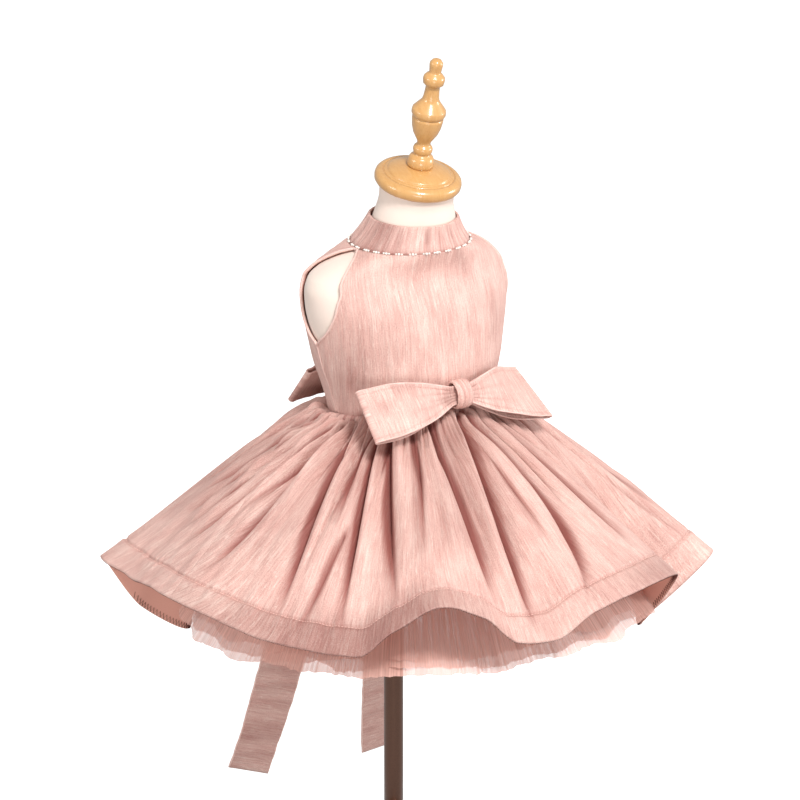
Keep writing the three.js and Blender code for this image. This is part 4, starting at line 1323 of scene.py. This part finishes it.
def bodice_panel(name, node, columns, start, end, grain_angle, seed):
    """A panel between two edges whose angles depend on the height. It dips at its seams and
    at the waist, and shallow ridges of the crinkled cloth run up it."""
    share = even_heights(BODICE_ROWS)[:, None]
    u = closer_at_edges(columns, 0.75)
    bottom = waist_height(start(WAIST_HEIGHT) * (1 - u) + end(WAIST_HEIGHT) * u)
    height = bottom + (BODICE_TOP - bottom) * share
    half_width = bodice_size(1, height)
    gap = np.degrees(SEAM_GAP / 2 / half_width)
    first, last = start(height) + gap, end(height) - gap
    angle = first + (last - first) * u
    around_mm = np.radians(angle - grain_angle) * half_width
    from_edge = np.minimum(u, 1 - u) * np.radians(last - first) * half_width
    waist = (height - bottom) / 2.5
    dip = SEAM_DIP * hump(from_edge, 0, 1.1) - SEAM_RIDGE * hump(from_edge, 2.6, 1.3)
    dip = dip + WAIST_DIP * hump(waist, 0, 1)
    broad, fine = (
        depth * uneven(around_mm / apart + height / drift, seed + more)
        for depth, apart, drift, more in BODICE_RIDGES
    )
    ridges = broad * (0.6 + 0.4 * uneven(height / 35, seed + 1)) + fine
    depth, apart = WAIST_GATHER
    gathered = np.exp(-waist / 6) * depth * uneven(around_mm / apart, seed + 3)
    points = bodice_point(angle, height, BODICE_OUT + ridges + gathered - dip)
    points[..., 2] = np.clip(points[..., 2], bottom - 0.2, BODICE_TOP)
    points[..., 2] -= TUCKED_IN * np.exp(-((height - bottom) / 1.5))
    at_waist, at_seam = BODICE_SHADES
    # painted shade along the waist and the seams
    fold = at_waist * np.exp(-waist / 2.2) + at_seam * hump(from_edge, 0, 1.2)
    low_share, patch_share = BODICE_PILE_SHADE
    # painted pile shade low on the front towards the wearer's right, and in random patches
    low_right = hump(angle, -64, 15) * hump(height, 680, 52)
    patches = uneven(angle / 17 + 40, 23) * uneven(height / 60, 24)
    made = grid_piece(
        name,
        points,
        velvet,
        uv=together(around_mm, height) / 1000,
        fold=np.clip(fold, 0, 1),
        pile=np.clip(low_share * low_right + patch_share * patches, 0, 1),
    )
    return walled(made, BODICE_THICKNESS, node, wrong_side)


bodice_front = bodice_panel(
    "bodice_front_cloth",
    "bodice_front",
    150,
    lambda height: -armhole(1, height),
    lambda height: armhole(1, height),
    0,
    41,
)
bodice_back_left = bodice_panel(
    "bodice_back_left_cloth",
    "bodice_back_left",
    84,
    lambda height: armhole(2, height),
    lambda height: 180 + 0 * height,
    180,
    51,
)
bodice_back_right = bodice_panel(
    "bodice_back_right_cloth",
    "bodice_back_right",
    84,
    lambda height: -180 + 0 * height,
    lambda height: -armhole(2, height),
    -180,
    61,
)
edge_height = np.concatenate([np.linspace(700.5, 790, 60), np.linspace(790.5, 796, 16)])
for side_name, sign in (("left", 1), ("right", -1)):
    loop_angle = sign * np.concatenate(
        [armhole(1, edge_height), armhole(2, edge_height[::-1])]
    )
    loop_height = np.concatenate([edge_height, edge_height[::-1]])
    loop_path = bodice_point(loop_angle, loop_height, -0.1)
    armhole_roll = roll(
        f"armhole_roll_{side_name}",
        loop_path,
        bodice_normal(loop_angle, loop_height),
        ARMHOLE_ROLL,
        velvet_edge_highlight,
        sides=10,
    )
    seam_height = np.linspace(WAIST_HEIGHT + 3, 700, 50)
    seam_angle = sign * armhole(1, seam_height)
    side_seam = roll(
        f"side_seam_{side_name}",
        bodice_point(seam_angle, seam_height, -0.2),
        bodice_normal(seam_angle, seam_height),
        SIDE_SEAM_ROLL,
        velvet_edge_highlight,
    )


# Collar and its beads
# A standing band of the velvet, doubled over at the top and hollowed a little, which opens at
# the centre back. A chain of small clear-coated beads is sewn along its seam in threes.
COLLAR_SEAM = np.array([63, 60.5, 30, 797.0])
COLLAR_TOP = np.array([46.5, 46.5, 37, 824.0])
COLLAR_TOP_LEAN = 3.0
COLLAR_OPENING = 0.25
COLLAR_HOLLOW = 1.5
COLLAR_THICKNESS = 2.4
COLLAR_COLUMNS = 420
COLLAR_SEAM_PULL = 0.9
COLLAR_CRINKLES = [
    # depth, how many in six degrees, drift on the way up, and seed
    (0.7, 1.6, 0.5, 71),
    (0.45, 4, -0.8, 72),
]
# painted shade at the seam and in the crinkles, and painted pile shade on the collar towards the
# wearer's right
COLLAR_SHADES = (0.4, 0.6)
COLLAR_PILE_SHADE = (0.65, -72, 24)
COLLAR_CLOTH_M = (0.058, 0.031)
BEAD_GROUPS = 30
BEAD_SPACING_MM = 2.9
BEAD_RADII = (1.15, 1.55, 1.2)
BEAD_SEAM_WAY = 0.02
BEAD_CORD_WAY = 0.015
BEAD_CORD_RADIUS = 0.4
GLASS = ("#fbf6ee", "#d8cfc6")
GLASS_CLOUD_MM = 2.0


def collar_face(angle, v, inset):
    """The collar at a share of its height: halfway sizes between seam and top, hollowed by a
    sine, with the top leaning forward."""
    half_width, half_depth, forward, height = (
        COLLAR_SEAM[k] + (COLLAR_TOP[k] - COLLAR_SEAM[k]) * v for k in range(4)
    )
    hollow = COLLAR_HOLLOW * np.sin(np.pi * np.clip(v, 0, 1)) + inset
    half_width, half_depth = half_width - hollow, half_depth - hollow
    lean = np.tan(np.radians(COLLAR_TOP_LEAN * v))
    drop = lean * half_depth * np.cos(np.radians(angle))
    return around(angle, half_width, half_depth, forward, height - drop)


collar_angle = np.linspace(-180 + COLLAR_OPENING, 180 - COLLAR_OPENING, COLLAR_COLUMNS + 1)
up_outside = np.linspace(0, 1, 25)
over_top = np.linspace(0, np.pi, 8)[1:-1]
profile_v = np.concatenate([up_outside, 1 + 0.035 * np.sin(over_top), up_outside[::-2]])
profile_inset = COLLAR_THICKNESS * np.concatenate(
    [0 * up_outside, (1 - np.cos(over_top)) / 2, 1 + 0 * up_outside[::-2]]
)
profile_v = np.append(profile_v, profile_v[0])[None, :]
profile_inset = np.append(profile_inset, profile_inset[0])[None, :]
turn = collar_angle[:, None] / 6
crinkles = sum(
    depth * uneven(turn * count + drift * profile_v, seed)
    for depth, count, drift, seed in COLLAR_CRINKLES
)
crinkles = crinkles * (0.35 + 0.65 * np.sin(np.pi * np.clip(profile_v, 0, 1)))
seam_pull = COLLAR_SEAM_PULL * hump(profile_v, 0, 0.09)
collar_inset = profile_inset - crinkles + seam_pull
cloth_u, cloth_v = COLLAR_CLOTH_M
at_seam, in_crinkles = COLLAR_SHADES
# painted shade at the seam and in the crinkles
collar_fold_shade = at_seam * np.exp(-profile_v / 0.12) + in_crinkles * np.clip(-crinkles, 0, 1)
pile_depth, pile_middle, pile_width = COLLAR_PILE_SHADE
collar = grid_piece(
    "collar_cloth",
    collar_face(collar_angle[:, None], profile_v, collar_inset),
    velvet,
    uv=together(np.radians(collar_angle)[:, None] * cloth_u, profile_v * cloth_v),
    fold=collar_fold_shade,
    pile=pile_depth * hump(collar_angle[:, None], pile_middle, pile_width),
    closed=True,
    flip=True,
    caps=True,
)
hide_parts("collar")


def glass_bead():
    """A small milky glass bead with a bright coat."""
    finish = {"Roughness": 0.15, "Coat Weight": 0.8, "Coat Roughness": 0.05}
    material, tree, shader = new_material("milky_glass_bead", finish)
    place = add_node(tree, "ShaderNodeTexCoord").outputs["Object"]
    noise_finish(tree, shader, place, 1000 / GLASS_CLOUD_MM, 1.0, GLASS)
    return material


bead_material = glass_bead()
bead_latitudes = np.radians(np.linspace(12, 168, 7))
bead_shape = small_turning(together(-np.cos(bead_latitudes), np.sin(bead_latitudes)), 10)
group_angle = -180 + (np.arange(BEAD_GROUPS) + 0.5) * 360 / BEAD_GROUPS
group_angle = group_angle + 1.2 * uneven(np.arange(BEAD_GROUPS) * 1.0, 73)
apart = np.degrees(BEAD_SPACING_MM / (COLLAR_SEAM[0] - 1))
bead_angle = (group_angle[:, None] + apart * np.array([-1, 0, 1])).ravel()
bead_radius = np.tile(BEAD_RADII, BEAD_GROUPS)
bead_centre = collar_face(bead_angle, BEAD_SEAM_WAY, -bead_radius * 0.55)
bead_frames = np.eye(3)[None] * bead_radius[:, None, None]
copies("collar_beads", bead_shape, bead_centre, bead_frames, bead_material)
chain_angle = np.linspace(-179, 179, 360)
chain_path = collar_face(chain_angle, BEAD_CORD_WAY, -0.35)
chain_side = collar_face(chain_angle, BEAD_CORD_WAY, -2.0) - chain_path
bead_thread = thread("bead_thread", "#c48a7f")
roll("collar_bead_cord", chain_path, chain_side, BEAD_CORD_RADIUS, bead_thread, sides=6)


# Back placket and buttons
# A strip of the velvet lies over the centre-back opening, stitched along both its edges. Four
# pearly sew-on buttons stand on it, each with a raised rim and a cross of thread.
PLACKET_HALF_WIDTH = 8.0
PLACKET_SHARES = (0.33, 0.96)
PLACKET_LIFT = 0.6
PLACKET_THICKNESS = 1.2
PLACKET_POINTS = 19
PLACKET_STITCH_MM = 6.2
PLACKET_STITCH_PITCH = 2.8
STITCH_GROOVE = 0.25
BUTTON_HEIGHTS = (676.0, 709.0, 742.0, 775.0)
BUTTON_SEAT = 2.1
BUTTON_THREAD_HEIGHT = 2.3
BUTTON_THREAD_PROFILE = [(-1.5, 0.1), (-1.1, 0.32), (1.1, 0.32), (1.5, 0.1)]
PEARL = ("#f7e6dc", "#eccfc4")
PEARL_CLOUD_MM = 6.25
BUTTON_PROFILE = [
    (0.0, 0.05),
    (0.0, 3.6),
    (0.5, 4.2),
    (1.2, 4.5),
    (2.0, 4.4),
    (2.7, 4.0),
    (3.0, 3.5),
    (2.95, 3.0),
    (2.4, 2.5),
    (2.2, 1.8),
    (2.15, 0.05),
]


def back_height(share):
    """A height on the centre back from its share of the bodice."""
    bottom = waist_height(180.0)
    return bottom + (BODICE_TOP - bottom) * share


strip_height = back_height(np.linspace(*PLACKET_SHARES, 61))[:, None]
over_it = np.linspace(-1, 1, PLACKET_POINTS)
across = np.concatenate([over_it, over_it[::-1][1:]])
top_side = np.concatenate([np.ones(PLACKET_POINTS), np.zeros(PLACKET_POINTS - 1)])
rounded = np.sqrt(np.clip(1 - np.abs(across) ** 10, 0, 1))
groove = STITCH_GROOVE * hump(np.abs(across), 0.78, 0.05) * top_side
lift = PLACKET_LIFT + PLACKET_THICKNESS * (0.25 + 0.75 * rounded) * top_side - groove
strip_angle = 180 + np.degrees(
    across[None, :] * PLACKET_HALF_WIDTH / bodice_size(1, strip_height)
)
placket = grid_piece(
    "back_placket_cloth",
    bodice_point(strip_angle, strip_height, lift[None, :]),
    velvet,
    uv=together(across[None, :] * PLACKET_HALF_WIDTH, strip_height) / 1000,
    closed=True,
    caps=True,
)
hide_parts("back_placket")
line_height = back_height(np.linspace(PLACKET_SHARES[0] + 0.015, PLACKET_SHARES[1] - 0.015, 50))
for side_name, sign in (("left", 1), ("right", -1)):
    line_angle = 180 + sign * np.degrees(PLACKET_STITCH_MM / bodice_size(1, line_height))
    line = bodice_point(line_angle, line_height, PLACKET_LIFT + PLACKET_THICKNESS - 0.15)
    stitch_line(
        f"placket_stitches_{side_name}",
        line,
        bodice_normal(line_angle, line_height),
        PLACKET_STITCH_PITCH,
        pale_thread,
    )


def pearly_button():
    """A cast pearly button: cream with a cloudy depth and a smooth gloss."""
    finish = {"Roughness": 0.25, "Coat Weight": 0.5, "Coat Roughness": 0.1}
    material, tree, shader = new_material("pearly_button", finish)
    place = add_node(tree, "ShaderNodeTexCoord").outputs["Object"]
    noise_finish(tree, shader, place, 1000 / PEARL_CLOUD_MM, 2.0, PEARL)
    return material


pearl = pearly_button()
button_shape = small_turning(BUTTON_PROFILE, 36)
thread_shape = small_turning(BUTTON_THREAD_PROFILE, STITCH_SIDES)
for number, button_height in enumerate(BUTTON_HEIGHTS, start=1):
    normal = bodice_normal(180.0, button_height)
    seat = bodice_point(180.0, button_height, BUTTON_SEAT)
    sideways = np.array([1.0, 0.0, 0.0])
    upwards = np.cross(normal, sideways)
    facing = np.stack([normal, sideways, upwards])[None]
    button = copies(f"back_button_{number}_cast", button_shape, seat[None], facing, pearl)
    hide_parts(f"back_button_{number}")
    along = unit(sideways + upwards * np.array([[1], [-1]]))
    crossed = np.stack([along, normal + 0 * along, np.cross(along, normal)], axis=1)
    top = (seat + BUTTON_THREAD_HEIGHT * normal)[None].repeat(2, axis=0)
    copies(f"back_button_{number}_thread", thread_shape, top, crossed, pale_thread)


# Bows
# Each bow is made of two doubled bands of the velvet, drawn together in pleats under a strip
# that goes once round them. The bands' long edges are turned in and show as narrow rolls.
FRONT_BOW = {"side": -1, "knot": (121.5, 655.5)}
BACK_BOW = {"side": 1, "knot": (58.9, 641.0)}
BOW_LOOPS = [
    # piece, solid, bow, reach, out, height, half height, tilt, upper end drawn in, seed
    ("front_bow_right_band", "front_bow_right_loop", FRONT_BOW, -104, 112.5, 647.5, 28, 40, 0, 81),
    ("front_bow_left_band", "front_bow_left_loop", FRONT_BOW, 101.5, 114, 637, 30.5, 46, 15, 82),
    ("back_bow_right_band", "back_bow_right_loop", BACK_BOW, -84, 51, 632.5, 24, 38, 4, 83),
    ("back_bow_left_band", "back_bow_left_loop", BACK_BOW, 84, 51, 631, 24, 38, 4, 84),
]
KNOT_TILT = 18
LOOP_START = 1.2
LOOP_NECK_HALF_HEIGHT = 8.8
LOOP_NECK_HALF_GAP = 2.0
LOOP_BELLY = 5.0
LOOP_END_RADIUS = 3.0
BAND_THICKNESS = 1.5
BAND_ROLL = 1.0
BAND_SOFTNESS = [
    # depth, bumps along and across the band, where they start, and added to the seed
    (1.8, 4, 1.5, 0, 1),
    (1.5, 3, -2.2, 9, 3),
]
BAND_STITCH_MM = 4
PLEAT_DRAWN = 0.45
PLEAT_SHADE = 0.6
KNOT_SHADE = 0.3
BAND_ROWS = 44
BAND_POINTS = 40
PLEATS = [
    # place across the band, width, depth, how far out it runs
    (0.16, 0.045, 2.0, 0.45),
    (0.34, 0.05, 2.6, 0.62),
    (0.52, 0.05, 2.4, 0.5),
    (0.67, 0.045, 2.8, 0.7),
    (0.84, 0.045, 1.8, 0.42),
]
KNOT_HALF_HEIGHT = 10.8
KNOT_HALF_DEPTH = 7.2
KNOT_WIDTH = 18.0


def bow_axes(side, tilt):
    """The directions up and out of a bow's band that tilts back by an angle."""
    t = np.radians(tilt)
    zero = np.zeros_like(t)
    up = np.stack([zero, -side * np.sin(t), np.cos(t)], axis=-1)
    front = np.stack([zero, side * np.cos(t), np.sin(t)], axis=-1)
    return up, front


def turned_edges(name, points, sides):
    """The turned-in edges of a band: a narrow roll along its first and its last column."""
    edges = []
    for edge_name, (column, side) in sides.items():
        path = points[:, column]
        edge = roll(f"{name}_{edge_name}_edge", path, side, BAND_ROLL, velvet_edge_highlight)
        edges.append(edge)
    return edges


def bow_band(name, node, bow, reach, out, height, half_height, tilt, drawn_in, seed):
    """A band runs out from the knot, turns over at its end and comes back behind itself. Its
    width opens with a sine on the way out, and pleats run out from the knot and die away."""
    out_way = np.linspace(0, 1, BAND_POINTS)
    here = np.ones(BAND_POINTS)
    turn = np.radians(np.linspace(180, 0, 13)[1:-1])
    way = np.concatenate([out_way, np.ones(len(turn)), out_way[::-1]])[:, None]
    gap = np.concatenate([here, -np.cos(turn), -here])[:, None]
    past = np.concatenate([0 * here, np.sin(turn), 0 * here])[:, None]
    v = closer_at_edges(BAND_ROWS, 0.6)
    way, gap, past, v = np.broadcast_arrays(way, gap, past, v)
    outwards = np.sign(reach)
    knot_out, knot_height = bow["knot"]
    spread = np.sin(np.pi / 2 * np.clip(1.25 * way - 0.12, 0, 1))
    tall = LOOP_NECK_HALF_HEIGHT + (half_height - LOOP_NECK_HALF_HEIGHT) * spread
    up, front = bow_axes(bow["side"], KNOT_TILT + (tilt - KNOT_TILT) * spread)
    belly = LOOP_NECK_HALF_GAP + (LOOP_END_RADIUS - LOOP_NECK_HALF_GAP) * way
    belly = belly + LOOP_BELLY * np.sin(np.pi * way) ** 3
    sunk = np.zeros(way.shape)
    for place, width, depth, runs in PLEATS:
        wander = place + (place - 0.5) * 0.1 * way + 0.03 * uneven(way * 2, seed)
        fade = np.clip(1 - way / runs, 0, 1) ** 0.8 * np.clip(way / 0.05, 0.5, 1)
        sunk += depth * fade * np.exp(-np.abs(v - wander) / (width * (0.6 + way)))
    edge = np.minimum(v, 1 - v) * 2 * tall
    stitched = 0.5 * hump(edge, BAND_STITCH_MM, 0.9)
    soft = sum(
        depth * uneven(way * along + across * v + start, seed + more) * np.sin(np.pi * way)
        for depth, along, across, start, more in BAND_SOFTNESS
    )
    soft = soft + 0.5 * uneven(way * 16 + 2 * v, seed + 2) * (0.3 + 0.7 * way)
    away = belly + np.clip(soft - PLEAT_DRAWN * sunk - stitched, 0.7 - belly, None)
    centre = np.stack(
        [
            outwards * LOOP_START + (reach - outwards * LOOP_START) * way,
            bow["side"] * (knot_out + (out - knot_out) * way * way),
            knot_height + (height - knot_height) * way,
        ],
        axis=-1,
    )
    points = centre + (tall * (1 - 2 * v))[..., None] * up
    points = points + (away * gap)[..., None] * front
    points[..., 0] += outwards * past * (LOOP_END_RADIUS + BAND_THICKNESS / 2)
    points[..., 0] -= outwards * drawn_in * way * way * (1 - v)
    run = np.abs(reach) * np.concatenate([out_way, 1 + 0 * turn, 2 - out_way[::-1]])
    uv = together(run[:, None], (1 - 2 * v) * half_height) / 1000
    # painted shade in the pleats, by the knot and along the edge stitches
    hemmed = hump(edge, BAND_STITCH_MM, 0.8) * (0.7 + 0.3 * uneven(way * 30, seed + 4))
    fold = np.clip(sunk / 3.2, 0, 1) * PLEAT_SHADE + KNOT_SHADE * np.exp(-way / 0.08)
    fold = fold + STITCH_SHADE * hemmed
    # painted pile shade in random patches
    pile = np.clip(0.8 * uneven(way * 6 + 2, seed + 5) * uneven(v * 3 + way, seed + 6), 0, 1)
    flip = outwards * bow["side"] > 0
    fold = np.clip(fold, 0, 1)
    made = grid_piece(name, points, velvet, uv=uv, fold=fold, pile=pile, flip=flip)
    walled(made, BAND_THICKNESS, node, offset=0)
    sides = {"upper": (0, up[:, 0]), "lower": (-1, -up[:, -1])}
    return made, turned_edges(name, points, sides)


def bow_knot(name, node, bow, seed):
    """A strip once round the bands: an ellipse that bulges in the middle of its width, with
    soft pleats that follow it round."""
    around_it = np.linspace(0, 2 * np.pi, 73)[:, None]
    across_it = np.linspace(-1, 1, 25)[None, :]
    bulge = 1.0 * (1 - across_it**2)
    pleated = 0.5 * np.cos(3.2 * np.pi * across_it + 0.8 * np.sin(2 * around_it + seed))
    moved = bulge + BAND_THICKNESS + pleated * (1 - across_it**4)
    up, front = bow_axes(bow["side"], np.array(float(KNOT_TILT)))
    centre = np.array([0, bow["side"] * bow["knot"][0], bow["knot"][1]])
    points = (
        centre
        + (np.cos(around_it) * (KNOT_HALF_HEIGHT + moved))[..., None] * up
        + (np.sin(around_it) * (KNOT_HALF_DEPTH + moved))[..., None] * front
    )
    points[..., 0] += across_it * KNOT_WIDTH / 2
    uv = together(across_it * KNOT_WIDTH / 2, around_it * 10) / 1000
    # painted shade in the knot strip's pleats
    fold = np.clip(-pleated, 0, 1) * 0.35
    made = grid_piece(name, points, velvet, uv=uv, fold=fold, flip=bow["side"] > 0)
    return walled(made, BAND_THICKNESS, node)


front_knot = bow_knot("front_bow_knot_strip", "front_bow_knot", FRONT_BOW, 1)
back_knot = bow_knot("back_bow_knot_strip", "back_bow_knot", BACK_BOW, 2)
for row in BOW_LOOPS:
    band, edges = bow_band(*row)


# Sash tails
# Two long bands of the velvet come from under the back bow, lie down the skirt and hang freely
# from its hem. They are cut across the crinkle, so that it runs from edge to edge.
TAILS = [
    # piece, solid, lift, angle at the knot, at the hem, at the end, end height, twist, seed
    ("sash_tail_right_band", "sash_tail_right", 8.2, 185.6, 164, 181, 66, 8, 91),
    ("sash_tail_left_band", "sash_tail_left", 9.3, 174.4, 150, 152, 70, -38, 92),
]
TAIL_ROWS = 240
TAIL_COLUMNS = 30
TAIL_ON_SKIRT = 9 / 16
TAIL_WIDTHS = (18.0, 53.0)
TAIL_HEM = (314.0, 410.0)
TAIL_START = (68.0, 614.3, 0.08)
TAIL_CRINKLES = [
    # depth, mm apart, drift across the band, and what is added to the seed
    (0.9, 11, 0.8, 0),
    (0.4, 3.6, -1, 1),
]
TAIL_CURL = 2.2
TAIL_CURL_MM = 70
TAIL_SHADE = 0.12


def tail_line(share, lift, at_knot, at_hem, at_end, end_height):
    """A tail's middle: down the skirt's slope on the same cubic as the skirt, then hanging."""
    on = np.clip(share / TAIL_ON_SKIRT, 0, 1)
    way = TAIL_START[2] + (1 - TAIL_START[2]) * on
    out = cubic(way, PUFF_OUT, FALL_OUT)
    down = cubic(way, PUFF_DOWN, FALL_DOWN)
    free = np.clip((share - TAIL_ON_SKIRT) / (1 - TAIL_ON_SKIRT), 0, 1)
    angle = at_knot + (at_hem - at_knot) * on + (at_end - at_hem) * free**1.4
    reach = TAIL_START[0] + (TAIL_HEM[0] - TAIL_START[0]) * out + 0.6 * lift
    reach = reach + 10 * np.sqrt(np.minimum(1, free / 0.33))
    height = TAIL_START[1] + (TAIL_HEM[1] - TAIL_START[1]) * down + lift
    height = height + (end_height - TAIL_HEM[1] - lift) * free
    return around(angle, reach, reach, SKIRT_FORWARD, height)


def sash_tail(name, node, lift, at_knot, at_hem, at_end, end_height, twist, seed):
    """A band square to the tail's line, widening from the knot, with crinkles from edge to
    edge, stitched edges and a slight curl."""
    share = np.linspace(0, 1, TAIL_ROWS + 1)
    turns = (lift, at_knot, at_hem, at_end, end_height)
    middle = tail_line(share, *turns)
    step = 0.5 / 16
    ahead = tail_line(np.minimum(1, share + step), *turns)
    behind = tail_line(np.maximum(0, share - step), *turns)
    along = unit(ahead - behind)
    radial = middle - np.array([0, -SKIRT_FORWARD, 0])
    radial[:, 2] = 0
    sideways = unit(np.cross(along, unit(radial)))
    free = np.clip((share - TAIL_ON_SKIRT) / (1 - TAIL_ON_SKIRT), 0, 1)
    t = np.radians(twist) * free
    sideways = np.cos(t)[:, None] * sideways + np.sin(t)[:, None] * np.cross(
        along, sideways
    )
    facing = unit(np.cross(sideways, along))
    widened = eased(np.clip(share * 2, 0, 1))
    width = (TAIL_WIDTHS[0] + (TAIL_WIDTHS[1] - TAIL_WIDTHS[0]) * widened)[:, None]
    u = closer_at_edges(TAIL_COLUMNS, 0.6)
    run = length_along(middle)[:, None]
    edge = np.minimum(u, 1 - u) * width
    crinkled = [
        depth * uneven(run / apart + drift * u, seed + more)
        for depth, apart, drift, more in TAIL_CRINKLES
    ]
    moved = sum(crinkled) - 0.5 * hump(edge, 3.5, 0.8)
    curl = uneven(run / TAIL_CURL_MM + 0.6 * u, seed + 2)
    moved = moved + TAIL_CURL * free[:, None] * curl
    points = (
        middle[:, None]
        + ((u - 0.5) * width)[..., None] * sideways[:, None]
        + moved[..., None] * facing[:, None]
    )
    uv = together(run, (u - 0.5) * width) / 1000
    # painted shade in the crinkles' hollows, and an even painted shade over the whole tail
    fold = np.clip(-crinkled[0] / 3, 0, 1) + TAIL_SHADE
    made = grid_piece(name, points, velvet, uv=uv, fold=fold)
    walled(made, BAND_THICKNESS, node, offset=0)
    sides = {"first": (0, -sideways), "second": (-1, sideways)}
    return made, turned_edges(name, points, sides)


for row in TAILS:
    tail, edges = sash_tail(*row)


# Floor and light
# A plain white floor and soft studio lamps, with most of the light from above the camera. The
# floor and the sky are white where the camera sees them, and light the dress less than that.
FLOOR_SIZE = 16.0
WORLD_STRENGTH = 0.5
FLOOR_GLOW = 0.6

floor_mesh = bpy.data.meshes.new("floor")
half = FLOOR_SIZE / 2
floor_mesh.from_pydata(
    [(-half, -half, 0), (half, -half, 0), (half, half, 0), (-half, half, 0)],
    [],
    [(0, 1, 2, 3)],
)
floor = bpy.data.objects.new("floor", floor_mesh)
bpy.context.scene.collection.objects.link(floor)
floor_finish = {
    "Base Color": linear("#f6f6f6"),
    "Roughness": 0.9,
    "Emission Color": (1, 1, 1, 1),
    "Emission Strength": FLOOR_GLOW,
}
floor_mesh.materials.append(new_material("matt_white_paint", floor_finish)[0])
floor.visible_diffuse = False
floor.visible_glossy = False

world = bpy.data.worlds.new("studio")
world.use_nodes = True
world.node_tree.nodes["Background"].inputs["Color"].default_value = (1, 1, 1, 1)
seen = add_node(world.node_tree, "ShaderNodeLightPath").outputs["Is Camera Ray"]
strength = add_node(
    world.node_tree,
    "ShaderNodeMapRange",
    inputs={"Value": seen, "To Min": WORLD_STRENGTH, "To Max": 1.0},
)
world.node_tree.links.new(
    strength.outputs["Result"],
    world.node_tree.nodes["Background"].inputs["Strength"],
)
bpy.context.scene.world = world
bpy.context.scene.view_settings.view_transform = "Standard"


def lamp(name, place, size, power):
    """A soft square lamp, aimed at the middle of the dress."""
    data = bpy.data.lights.new(name, "AREA")
    data.size = size
    data.energy = power
    made = bpy.data.objects.new(name, data)
    bpy.context.scene.collection.objects.link(made)
    made.location = place
    made.rotation_mode = "QUATERNION"
    made.rotation_quaternion = (Vector(place) - aim).to_track_quat("Z", "Y")


lamp("key_lamp", (-0.5, -2.3, 3.1), 0.7, 97.0)
lamp("left_lamp", (-2.9, 0.2, 1.7), 0.8, 24.0)
lamp("low_lamp", (-1.5, -2.5, 0.35), 1.0, 20.0)
lamp("right_lamp", (2.7, -1.4, 1.3), 0.9, 42.0)
